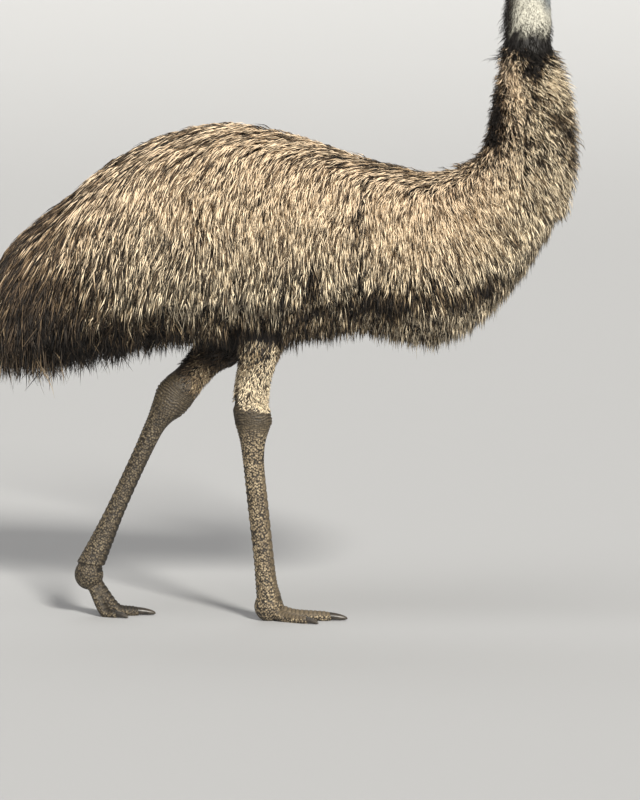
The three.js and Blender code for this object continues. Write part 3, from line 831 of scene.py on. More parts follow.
@dataclass(frozen=True)
class Trunk:
    """The bird's outer form from rump to head, as stations: back x and z, belly x and z, half width, coat."""

    stations: Rows = (
        (-619, 664, -625, 611, 30, 20),
        (-597, 717, -619, 568, 88, 55),
        (-560, 777, -597, 529, 135, 80),
        (-506, 826, -560, 508, 165, 85),
        (-445, 871, -506, 502, 185, 80),
        (-379, 927, -437, 510, 197, 75),
        (-310, 971, -355, 529, 206, 70),
        (-236, 1003, -266, 549, 212, 68),
        (-162, 1020, -178, 556, 215, 66),
        (-86, 1024, -88, 554, 214, 65),
        (-6, 1009, -2, 551, 210, 62),
        (72, 986, 82, 566, 202, 60),
        (146, 960, 166, 578, 193, 60),
        (215, 942, 252, 558, 180, 60),
        (273, 928, 330, 556, 166, 60),
        (322, 927, 408, 599, 152, 60),
        (363, 937, 476, 668, 136, 58),
        (392, 956, 537, 754, 120, 52),
        (408, 984, 574, 830, 106, 46),
        (417, 1021, 590, 912, 94, 40),
        (425, 1062, 592, 998, 84, 36),
        (433, 1103, 582, 1072, 74, 30),
        (442, 1144, 562, 1130, 60, 20),
        (449, 1181, 543, 1175, 47, 8),
        (453, 1226, 543, 1226, 43, 5),
        (456, 1271, 541, 1271, 40, 4),
        (458, 1340, 535, 1340, 36, 4),
        (461, 1410, 531, 1410, 33, 3),
        (466, 1480, 531, 1480, 31, 3),
        (476, 1545, 537, 1545, 29, 3),
        (485, 1590, 542, 1590, 27, 3),
    )
    flow: Rows = (
        (0, 0.4, 0.5, 0.5, 0.45),
        (5, 0.2, 0.5, 0.8, 0.6),
        (8, 0.12, 0.35, 1.0, 0.85),
        (11, 0.07, 0.25, 1.3, 1.05),
        (13, 0.0, 0.2, 1.4, 1.05),
        (15, -0.34, 0.15, 1.3, 0.8),
        (17, -0.4, 0.2, 0.6, 0.5),
        (19, -0.26, 0.2, 0.3, 0.45),
        (30, -0.26, 0.26, 0.0, 0.45),
    )
    sag: float = 0.28
    sag_fades: tuple[float, float] = (14, 19)
    top_coat: float = 0.55

    def row(self, s: Array) -> Array:
        """The stations' values at places along the trunk, in metres."""
        return along(np.array(self.stations) * MM, s)

    def place(self, s: Array, turn: Array, lift: Array) -> Array:
        """Points of the trunk: back and belly's middle plus half their span times the rise, aside by sine.

        The rise is cos(turn) - sag * sin(turn) squared, and back, belly and half width draw in by
        (1 - lift) times the coat's depth.

        Args:
            s: stations.
            turn: angles from the back's ridge towards the left.
            lift: 0 at the skin, 1 at the plumage's outer form.

        Returns:
            Points.
        """
        row = self.row(s)
        zero = np.zeros_like(row[..., 0])
        back = np.stack([row[..., 0], zero, row[..., 1]], -1)
        belly = np.stack([row[..., 2], zero, row[..., 3]], -1)
        up = unit(back - belly)
        depth = ((1 - np.asarray(lift)) * row[..., 5])[..., None]
        back = back - up * depth * self.top_coat
        belly = belly + up * depth
        sag = self.sag * fade(*self.sag_fades, s)
        rise = (np.cos(turn) - sag * np.sin(turn) ** 2)[..., None]
        points = (back + belly) / 2 + (back - belly) * rise / 2
        points[..., 1] = (row[..., 4] - depth[..., 0]) * np.sin(turn)
        return points

    def slopes(self, s: Array, turn: Array, lift: Array) -> tuple[Array, Array, Array]:
        """The changes of place with station and with angle, and the outward direction.

        Args:
            s: stations.
            turn: angles.
            lift: lifts.

        Returns:
            Change by station, change by angle, unit outward vectors.
        """
        step = 0.02
        by_s = (self.place(s + step, turn, lift) - self.place(s - step, turn, lift)) / (2 * step)
        by_turn = (self.place(s, turn + step, lift) - self.place(s, turn - step, lift)) / (2 * step)
        return by_s, by_turn, unit(np.cross(by_s, by_turn))

    def lie(self, s: Array, turn: Array) -> Array:
        """The way that feathers point, before they are laid on the surface.

        Backward over tail and back, straight down on the flanks, a little forward on breast and neck.

        Args:
            s: stations.
            turn: angles.

        Returns:
            Directions.
        """
        over = np.maximum(0, np.cos(turn))
        side, top, ridge, out = straight(self.flow, s)
        back = side + top * over**2 + ridge * smooth(0.79, 0.97, over)
        aside = np.sign(np.sin(turn)) * out * over
        down = -1 + 0.55 * over * fade(13, 17, s)
        return np.stack([-back, aside, down], -1)


TRUNK = Trunk()


# Markings, shared by skin and plumage


@dataclass(frozen=True)
class Mark:
    """A soft oval marking seen from the side: middle x and z, half sizes, tilt in degrees, change of tone."""

    x: float
    z: float
    long: float
    high: float
    tilt: float
    change: float

    def at(self, points: Array) -> Array:
        """The mark's change of tone at points: its change times exp(-(a squared + b squared)).

        Args:
            points: places in metres.

        Returns:
            Changes of tone.
        """
        turn = math.radians(self.tilt)
        x = points[..., 0] / MM - self.x
        z = points[..., 2] / MM - self.z
        a = (x * math.cos(turn) + z * math.sin(turn)) / self.long
        b = (-x * math.sin(turn) + z * math.cos(turn)) / self.high
        return self.change * np.exp(-(a * a + b * b))


@dataclass(frozen=True)
class Markings:
    """The plumage's light and dark places, some of them partly painted shade under the body and under the
    flank's lower edge.
    """

    base: float = 1.0
    marks: tuple[Mark, ...] = (
        Mark(-62, 860, 220, 130, 0, 0.25),
        Mark(290, 825, 190, 80, 5, 0.36),
        Mark(360, 760, 120, 70, 20, 0.14),
        Mark(-550, 680, 190, 250, 20, -0.4),
        # The tail's underside: partly the plumage's own darker colour, partly painted shade under the body.
        Mark(-440, 610, 230, 120, -10, -0.35),
        Mark(-490, 790, 160, 100, 40, -0.18),
        # Lower flanks and the belly's front: partly the plumage's own darker colour, partly painted shade
        # under the body.
        Mark(-250, 540, 330, 75, 0, -0.34),
        Mark(40, 585, 260, 90, 0, -0.46),
        Mark(146, 815, 12, 50, -12, -0.75),
        Mark(153, 750, 10, 45, 6, -0.5),
        Mark(112, 800, 22, 50, 0, 0.12),
        Mark(61, 708, 17, 42, -5, -0.7),
        # Painted shade under the flank's lower edge, a narrow band running up towards the breast.
        Mark(250, 664, 170, 28, 4, -0.66),
        Mark(430, 700, 80, 26, 28, -0.42),
        Mark(345, 602, 150, 45, 20, -0.1),
        Mark(430, 895, 60, 55, -10, 0.1),
        Mark(430, 1030, 20, 80, 0, -0.6),
        Mark(590, 960, 22, 110, 4, -0.4),
        Mark(468, 1105, 20, 36, 0, 0.62),
        Mark(545, 1090, 18, 30, 0, 0.62),
        Mark(512, 1100, 12, 50, 0, -0.3),
        Mark(555, 1025, 35, 35, 0, -0.3),
        Mark(500, 950, 60, 25, 0, -0.15),
        Mark(498, 1184, 85, 32, -10, -1.1),
        Mark(503, 1136, 27, 34, 0, -0.8),
    )

    def tone(self, points: Array) -> Array:
        """The tone at points: the base, the marks and a soft mottle.

        Args:
            points: places in metres.

        Returns:
            Tones, 0 black and 1 cream.
        """
        total = self.base + sum(mark.at(points) for mark in self.marks)
        neck = smooth(0.86, 1.0, points[..., 2])
        ridge = smooth(0.8, 0.86, points[..., 2]) * fade(0.035, 0.11, np.abs(points[..., 1]))
        saddle = 0.26 + 0.22 * smooth(0.05, 0.2, points[..., 0])
        total = total - saddle * ridge * fade(0.4, 0.47, points[..., 0])
        total = total + 0.09 * waves(points, 0.11, 5) + 0.15 * waves(points, 0.035, 6)
        return total - 0.1 * neck + 0.2 * neck * waves(points, 0.03, 9)


MARKINGS = Markings()


# Plumage


@dataclass(frozen=True)
class Growth:
    """Sizes of strands by station: lengths on back, side and belly, width, spread of a lock, tip's lift."""

    rows: Rows = (
        (0, 110, 120, 70, 2.8, 11, 1.0),
        (3, 130, 130, 65, 2.8, 11, 1.0),
        (6, 88, 90, 56, 2.7, 8, 1.0),
        (9, 74, 58, 46, 2.5, 7.5, 1.0),
        (12, 70, 50, 40, 2.4, 7, 1.0),
        (15.4, 56, 45, 40, 2.1, 6.5, 0.98),
        (18.7, 30, 33, 34, 1.8, 5.5, 0.94),
        (21, 22, 23, 25, 1.6, 4.5, 0.9),
        (22.2, 20, 19, 18, 1.5, 4.5, 0.9),
        (23.2, 18, 15, 11, 1.4, 4, 1.2),
        (24.2, 20, 9, 7, 1.1, 4, 4.6),
        (30, 18, 8, 7, 0.9, 4, 5.6),
    )

    def at(self, s: Array, turn: Array) -> tuple[Array, Array, Array, Array]:
        """Sizes at places on the trunk.

        Args:
            s: stations.
            turn: angles.

        Returns:
            Lengths, widths, spreads in metres, and tips' lifts.
        """
        back, side, belly, width, spread, lift = straight(self.rows, s)
        over = np.cos(turn)
        length = np.where(over > 0, side + (back - side) * over**2, side + (belly - side) * over**2)
        flat = smooth(23.2, 24.2, s) * fade(0.35, 0.85, over)
        lift = 1 + (lift - 1) * (1 - 0.9 * flat)
        return length * MM, width * MM * (1 - 0.55 * flat), spread * MM, lift


def tapered(t: Array, root: float) -> Array:
    """A strand's width along it: its root's share, full soon after, then (1 - t to the 2.2) to the 0.8.

    Args:
        t: shares of its length.
        root: the root's share of the full width.

    Returns:
        Shares of the full width.
    """
    return (root + (1 - root) * smooth(0, 0.3, t)) * (1 - t**2.2) ** 0.8 + 0.02


@dataclass
class Strands:
    """Closed three-sided strands, as arrays by strand and by ring along it."""

    middles: Array
    outs: Array
    half: Array
    tone: Array
    rosy: Array
    root: Array
    seed: int

    def shape(self) -> tuple[Shape, Array, Array]:
        """The strands' faces: two edges and a ridge at each ring, a cap at the root and a point at the tip.

        Returns:
            The shape, the strand of each point, and the ring and corner of each point.
        """
        draw = np.random.default_rng(self.seed)
        count, rings, _ = self.middles.shape
        ahead = unit(np.gradient(self.middles, axis=1))
        over = unit(self.outs - dot(self.outs, ahead) * ahead)
        aside = np.cross(over, ahead)
        roll = draw.normal(0, 0.38, (count, 1, 1))
        aside, over = aside * np.cos(roll) + over * np.sin(roll), over * np.cos(roll) - aside * np.sin(roll)
        half = self.half[..., None]
        low = self.middles - over * half * 0.18
        corners = [low - aside * half, low + aside * half, self.middles + over * half * 0.5]
        body = np.stack(corners, 2)[:, :-1]
        points = np.concatenate([body.reshape(count, -1, 3), self.middles[:, -1:]], 1)
        template, sizes = self.template(rings - 1)
        each = points.shape[1]
        faces = (np.arange(count)[:, None] * each + template[None]).ravel()
        shape = Shape(points.reshape(-1, 3), faces, np.tile(sizes, count)).outward()
        ring = np.append(np.repeat(np.arange(rings - 1), 3), rings - 1)
        corner = np.append(np.tile([0.0, 1.0, 0.5], rings - 1), 0.5)
        return shape, ring, corner

    @staticmethod
    def template(rings: int) -> tuple[Array, Array]:
        """One strand's faces.

        Args:
            rings: rings before the tip.

        Returns:
            Corners and face sizes.
        """
        faces = [[0, 1, 2]]
        for ring in range(rings - 1):
            low = ring * 3
            for k in range(3):
                onward = (k + 1) % 3
                faces.append([low + k, low + k + 3, low + onward + 3, low + onward])
        last = (rings - 1) * 3
        faces += [[last + k, rings * 3, last + (k + 1) % 3] for k in range(3)]
        return np.concatenate(faces), np.array([len(face) for face in faces])

    def build(self, name: str, material: bpy.types.Material) -> bpy.types.Object:
        """The strands as one piece with its tones and its two UV maps.

        Args:
            name: the piece's name.
            material: its finish.

        Returns:
            The piece.
        """
        shape, ring, corner = self.shape()
        mesh = shape.mesh(name)
        count, rings, _ = self.middles.shape
        floats(mesh, "tone", self.tone[:, ring])
        floats(mesh, "rosy", np.repeat(self.rosy, len(ring)))
        draw = np.random.default_rng(self.seed + 1)
        share = ring / (rings - 1)
        patch = 0.003
        bake = self.root[:, None] + patch * (np.stack([corner, share], -1)[None] - 0.5)
        own = draw.uniform(0, 90, (count, 1, 2)) + np.stack([corner * 5.0, share * 1.6], -1)[None]
        for title, uv in (("OFBake", bake), ("Strand", own)):
            layer = mesh.uv_layers.new(name=title)
            flat = uv.reshape(-1, 2)[shape.corners]
            layer.uv.foreach_set("vector", flat.astype(np.float32).ravel())
        mesh.materials.append(material)
        return bpy.data.objects.new(name, mesh)


@dataclass
class Comb:
    """Lays the middle lines of locks over the trunk, from their roots along the lie."""

    trunk: Trunk
    steps: int = 8
    stiff: float = 0.4
    falls_at: float = -0.3

    def lines(
        self, s: Array, turn: Array, length: Array, root: Array, tip: Array, swing: Array, hang: Array
    ) -> tuple[Array, Array]:
        """Lines of points and their outward directions, stepped along the surface, then straight down.

        Each step goes along the lie laid on the surface and turned by the swing, and is changed into
        steps of station and angle with the surface's own metric. Past the edge a line hangs free.

        Args:
            s: root stations.
            turn: root angles.
            length: lengths.
            root: the roots' lifts.
            tip: the tips' lifts.
            swing: turns of the way about the outward direction.
            hang: how far each may hang below the edge.

        Returns:
            Points and outward directions, by line and by step.
        """
        points = []
        outs = []
        way = None
        hanging = np.zeros(len(s), bool)
        for k in range(self.steps + 1):
            t = k / self.steps
            lift = root + (tip - root) * smooth(0, 0.8, t)
            by_s, by_turn, out = self.trunk.slopes(s, turn, lift)
            here = self.trunk.place(s, turn, lift)
            if k:
                fall = np.minimum(length / self.steps, hang / max(1, self.steps - k + 1) + 0.0005)
                here = np.where(hanging[:, None], points[-1] + way * fall[:, None], here)
                out = np.where(hanging[:, None], outs[-1], out)
                hanging = hanging | (out[:, 2] < self.falls_at)
            points.append(here)
            outs.append(out)
            lie = self.trunk.lie(s, turn)
            across = np.cross(out, lie)
            lie = lie * np.cos(swing)[:, None] + across * np.sin(swing)[:, None]
            lie = unit(lie - dot(lie, out) * out)
            lie = np.where(hanging[:, None], np.array([0.0, 0.0, -1.0]), lie)
            way = lie if way is None else unit(way * self.stiff + lie * (1 - self.stiff))
            move = way * (length / self.steps)[:, None]
            a, b, c = dot(by_s, by_s), dot(by_s, by_turn), dot(by_turn, by_turn)
            u, v = dot(move, by_s), dot(move, by_turn)
            s = np.maximum(0.03, s + ((u * c - v * b) / (a * c - b * b))[:, 0])
            turn = turn + ((v * a - u * b) / (a * c - b * b))[:, 0]
        return np.stack(points, 1), np.stack(outs, 1)


@dataclass
class Coat:
    """One stretch of the plumage over the trunk, between stations and angles."""

    name: str
    stations: tuple[float, float]
    turns: tuple[float, float]
    locks: int
    each: int
    seed: int
    nodes: tuple[str, ...] = ()
    root: float = 0.46
    converge: float = 0.8
    rings: tuple[float, ...] = SHORT
    shade: float = 0.0
    tips: float = 0.27
    ragged: float = 0.05
    strays: float = 0.0
    curl: float = 0.05
    wool: float = 0.12
    even: float = 0.0
    lengths: tuple[float, float] = (0.82, 1.15)
    off: float = 18 * MM
    hang: float = 60 * MM
    pale: float = 0.36
    dark: float = 0.62
    mottle: float = 0.16
    growth: Growth = field(default_factory=Growth)

    def roots(self, draw: np.random.Generator) -> tuple[Array, Array]:
        """Root places, even by area: a cell of a fine grid is drawn by its share of the whole area.

        Args:
            draw: the random draw.

        Returns:
            Stations and angles.
        """
        s_edges = np.linspace(*self.stations, 161)
        t_edges = np.radians(np.linspace(*self.turns, 121))
        s_mid = (s_edges[1:] + s_edges[:-1]) / 2
        t_mid = (t_edges[1:] + t_edges[:-1]) / 2
        s, turn = np.meshgrid(s_mid, t_mid, indexing="ij")
        by_s, by_turn, _ = TRUNK.slopes(s, turn, np.ones_like(s))
        area = np.linalg.norm(np.cross(by_s, by_turn), axis=-1)
        _, width, spread, _ = self.growth.at(s, turn)
        weight = (area / (width * spread) * self.density(s, turn)).ravel()
        total = np.cumsum(weight) / weight.sum()
        cell = np.searchsorted(total, (np.arange(self.locks) + draw.uniform(0, 1, self.locks)) / self.locks)
        cell = np.minimum(cell, len(total) - 1)
        i, j = np.unravel_index(cell, s.shape)
        s = s_edges[i] + draw.uniform(0, 1, self.locks) * (s_edges[1] - s_edges[0])
        return s, t_edges[j] + draw.uniform(0, 1, self.locks) * (t_edges[1] - t_edges[0])

    def density(self, s: Array, turn: Array) -> Array:
        """How densely feathers grow at places: even."""
        return np.ones_like(s) + 0 * turn

    def lines(self, draw: np.random.Generator, s: Array, turn: Array, length: Array, lift: Array) -> Any:
        """The locks' middle lines, with some that stand off, some turned aside and some that hang.

        Args:
            draw: the random draw.
            s: root stations.
            turn: root angles.
            length: lengths.
            lift: tips' lifts.

        Returns:
            Lengths, points and outward directions.
        """
        length = length * draw.uniform(*self.lengths, self.locks)
        rough = self.ragged * (1 - self.even * fade(0.2, 0.8, np.cos(turn)))
        tip = lift + rough * draw.normal(0, 1, self.locks)
        stray = draw.uniform(0, 1, self.locks) < self.strays
        length = np.where(stray, length * 0.7, length)
        tip = tip + stray * draw.uniform(0.25, 1.0, self.locks) * self.off / TRUNK.row(s)[:, 5]
        start = TRUNK.place(s, turn, np.full(self.locks, 0.8))
        swing = 0.16 * waves(start, 0.16, 21) + self.wool * waves(start, 0.028, 22)
        swing = (swing + draw.normal(0, 0.1, self.locks)) * self.calm(s, turn)
        clump = np.clip(0.5 + waves(start, 0.06, 23), 0, 1.4) ** 2
        loose = 0.004 + 0.013 * clump * (1 + 0.6 * fade(2, 6, s))
        hang = np.minimum(draw.exponential(loose), self.hang)
        root = np.full(self.locks, self.root)
        return length, *Comb(TRUNK).lines(s, turn, length, root, tip, swing, hang)

    @staticmethod
    def calm(s: Array, turn: Array) -> Array:
        """How freely strands stray from the lie: 1, and a quarter along the back's ridge."""
        return 1 - 0.75 * smooth(0.75, 0.95, np.cos(turn)) * fade(14, 18, s)

    def tones(self, draw: np.random.Generator, s: Array, turn: Array, rank: Array, tone: Array) -> Array:
        """Tones of strands: pale and dark ones, darker at tips, a few pale in the tail, and painted shade
        below, at roots and deep in locks.

        Args:
            draw: the random draw.
            s: the strands' root stations.
            turn: their root angles.
            rank: their places in their locks, from 0 below to 1 above.
            tone: the markings' tones by strand and ring.

        Returns:
            Tones by strand and ring.
        """
        count = len(rank)
        t = np.array(self.rings)[None]
        streak = np.where(draw.uniform(0, 1, count) < 0.5, self.pale, -self.dark) + draw.normal(0, 0.1, count)
        strong = 0.36 + 0.64 * smooth(0.2, 0.8, tone[:, 1])
        lock = np.repeat(draw.normal(0, self.mottle, self.locks), self.each)
        tone = tone + self.shade + (lock + streak * strong)[:, None]
        # Painted shade and light: strands lower in their lock are darker, those on top paler.
        tone = tone + (rank[:, None] - 0.5) * 0.24
        frost = (draw.uniform(0, 1, count) < 0.2) * fade(4, 6, s)
        tone = tone + 0.3 * frost[:, None] * fade(0.2, 0.6, tone)
        # Painted shade on the underside of tail, rump and rear flanks.
        under = smooth(0.3, 0.9, -np.cos(turn)) * fade(9, 13, s)
        tone = tone - 0.16 * under[:, None]
        # Painted shade towards the roots, and darker tips.
        return tone - 0.2 * fade(0.1, 0.55, t) - self.tips * smooth(0.5, 1, t)

    def unwrapped(self, draw: np.random.Generator, s: Array, turn: Array) -> Array:
        """The strands' roots on the coat's own map, by station and angle.

        Args:
            draw: the random draw.
            s: the strands' root stations.
            turn: their root angles.

        Returns:
            Places on the map.
        """
        across = (s - self.stations[0]) / (self.stations[1] - self.stations[0])
        up = (np.degrees(turn) - self.turns[0]) / (self.turns[1] - self.turns[0])
        place = 0.004 + 0.992 * np.stack([across, up], -1) + draw.normal(0, 0.004, (len(s), 2))
        return inside(place)

    def strands(self) -> Strands:
        """The strands: each follows its lock's line, offset aside and draws in towards it at the tip.

        Returns:
            The strands.
        """
        draw = np.random.default_rng(self.seed)
        s, turn = self.roots(draw)
        length, width, spread, lift = self.growth.at(s, turn)
        length, lines, outs = self.lines(draw, s, turn, length, lift)

        lock = np.repeat(np.arange(self.locks), self.each)
        s, turn, long = s[lock], turn[lock], length[lock][:, None]
        count = len(lock)
        rank = draw.uniform(0, 1, count)
        t = np.array(self.rings)[None]
        reach = draw.uniform(0.72, 1.1, (count, 1))
        steps = lines.shape[1] - 1
        q = (draw.uniform(-0.08, 0.14, (count, 1)) + t * reach) * steps
        i = np.clip(np.floor(q).astype(int), 0, steps - 1)
        low = lines[lock[:, None], i]
        middles = low + (lines[lock[:, None], i + 1] - low) * (q - i)[..., None]
        out = outs[lock[:, None], i]
        aside = unit(np.cross(out, unit(np.gradient(middles, axis=1))))
        offset = draw.normal(0, 0.6, (count, 1)) * spread[lock][:, None] * (1 - self.converge * t)
        curl = draw.normal(0, self.curl, (count, 1)) * np.sin(t * draw.uniform(1.5, 4.5, (count, 1))) * long
        curl = curl + draw.normal(0, 0.09, (count, 1)) * t * long
        loose = smooth(0.1, 0.7, -np.cos(turn)) * fade(5, 10, s)
        curl = curl * (1 + 2.4 * loose)[:, None] * self.calm(s, turn)[:, None]
        sleek = 1 - 0.8 * smooth(0.7, 1, np.cos(turn)) * fade(14, 18, s)
        sleek = sleek[:, None]
        splay = (rank[:, None] - 0.5 - 0.3 * (1 - sleek)) * (0.1 * long + 0.004) * t * sleek
        middles = middles + aside * (offset + curl)[..., None] + out * splay[..., None]
        half = width[lock][:, None] / 2 * draw.uniform(0.65, 1.25, (count, 1)) * tapered(t, 0.55)
        tone = self.tones(draw, s, turn, rank, MARKINGS.tone(middles))
        rosy = np.clip(np.cos(turn) * 1.1, 0, 1) * (0.6 + 0.4 * draw.uniform(0, 1, count))
        return Strands(middles, out, half, tone, rosy, self.unwrapped(draw, s, turn), self.seed)

    def build(self, material: bpy.types.Material) -> bpy.types.Object:
        """The coat as a piece in the scene.

        Args:
            material: the plumage's finish.

        Returns:
            The piece.
        """
        return shown(self.strands().build(self.name, material), self.nodes)


class Bristles(Coat):
    """The black hair-like feathers over the bare neck: a dense band below, a nape's fringe, few elsewhere."""

    def density(self, s: Array, turn: Array) -> Array:
        """How densely bristles grow: 1 in the band and along the nape, fading to a few on the bare skin.

        Args:
            s: stations.
            turn: angles.

        Returns:
            Densities from 0 to 1.
        """
        band = fade(22.9, 23.6, s)
        nape = smooth(0.55, 0.95, np.cos(turn))
        few = 0.09 + 0.05 * smooth(-0.6, 0.4, np.cos(turn)) + 0.22 * fade(23.5, 24.6, s)
        return np.maximum(np.maximum(band, 0.8 * nape), few)


@dataclass
class Crown:
    """Short black hair-like feathers on the crown and the back of the head, few on cheeks and throat."""

    count: int = 5200
    length: float = 12 * MM
    width: float = 0.8 * MM
    seed: int = 121

    def strands(self) -> Strands:
        """Strands from the skull's ellipses: out of the surface, then back along it.

        Returns:
            The strands.
        """
        draw = np.random.default_rng(self.seed)
        tries = self.count * 12
        x = draw.uniform(2, 86, tries)
        angle = draw.uniform(-np.pi, np.pi, tries)
        keep = draw.uniform(0, 1, tries) < self.density(x, angle)
        x = x[keep][: self.count, None]
        angle = angle[keep][: self.count, None]
        root, out = self.surface(x, angle)
        count = len(x)
        t = np.array(SHORT)[None, :, None]
        nape = fade(4, 22, x)
        way = np.array([-1.0, 0.0, -0.25]) + draw.normal(0, 0.22, (count, 3))
        way[:, 2:] -= 1.2 * nape
        way = unit(way - dot(way, out) * out)[:, None]
        size = self.length / MM * draw.uniform(0.6, 1.2, (count, 1))
        size = size * (0.4 + 0.6 * fade(45, 88, x) + 0.5 * nape)
        rise = draw.uniform(0.12, 0.6, (count, 1))[..., None]
        line = root[:, None] + size[..., None] * (way * t + rise * (t - 0.45 * t * t) * out[:, None])
        middles = HEAD.out(line - 0.8 * out[:, None])
        half = self.width / 2 * draw.uniform(0.7, 1.3, (count, 1)) * tapered(t[..., 0], 0.7)
        tone = 0.06 + 0.07 * draw.normal(0, 1, (count, 1)) + 0 * t[..., 0]
        nod = HEAD.out(out[:, None]) - HEAD.out(0 * out[:, None])
        root_uv = np.concatenate([x / 90, 0.5 + angle / (2 * np.pi)], 1)
        outs = unit(np.broadcast_to(nod, middles.shape))
        return Strands(middles, outs, half, tone, np.zeros(count), inside(root_uv), self.seed)

    @staticmethod
    def surface(x: Array, angle: Array) -> tuple[Array, Array]:
        """Points of the head's outline and outward directions, along the head's own axes.

        Args:
            x: places from the back of the skull, in millimetres.
            angle: angles from the crown towards the left.

        Returns:
            Points and unit vectors.
        """
        row = at(HEAD.outline, x[:, 0])[:, None]
        middle = (row[..., 1] + row[..., 2]) / 2
        high = (row[..., 1] - row[..., 2]) / 2
        points = np.concatenate([x, row[..., 3] * np.sin(angle), middle + high * np.cos(angle)], 1)
        slope = (at(HEAD.outline, x[:, 0] + 1)[:, None] - row)[..., 3]
        out = np.concatenate([-slope, np.sin(angle) / row[..., 3] * high, np.cos(angle)], 1)
        return points, unit(out)

    @staticmethod
    def density(x: Array, angle: Array) -> Array:
        """How densely feathers grow: 1 on the crown, fading down the cheeks, none round the eyes.

        Args:
            x: places from the back of the skull, in millimetres.
            angle: angles from the crown towards the left.

        Returns:
            Densities from 0 to 1.
        """
        row = at(HEAD.outline, x)
        high = (row[..., 1] + row[..., 2]) / 2 + (row[..., 1] - row[..., 2]) / 2 * np.cos(angle)
        crown = smooth(0.1, 0.75, np.cos(angle))
        back = fade(8, 26, x) * smooth(-0.6, 0.2, np.cos(angle))
        few = 0.1 * smooth(-0.9, 0, np.cos(angle)) * (1 - 0.6 * smooth(60, 72, x))
        eye = np.hypot((x - HEAD.eye[0]) / HEAD.almond, high - HEAD.eye[2])
        ear = np.hypot(x - HEAD.ear[0], high - HEAD.ear[2])
        clear = smooth(16.5, 22, eye) * smooth(4, 7, ear)
        return np.maximum(np.maximum(crown, back), few) * clear

    def build(self, material: bpy.types.Material) -> bpy.types.Object:
        """The feathers as a piece in the scene."""
        return shown(self.strands().build("coat_crown", material))


# Legs


@dataclass(frozen=True)
class Toe:
    """A toe's swing from straight ahead in degrees, reach, half width and height, pads, scutes and claw."""

    name: str
    swing: float
    reach: float
    half: float
    high: float
    pads: int
    scutes: int
    claw: float


SHIN = 0
SHANK = 1
FIRST_TOE = 2
TOES = (
    Toe("inner", 31, 88, 14, 13, 2, 6, 25),
    Toe("middle", -2, 130, 18, 16, 3, 9, 32),
    Toe("outer", -34, 98, 14, 13, 3, 7, 25),
)


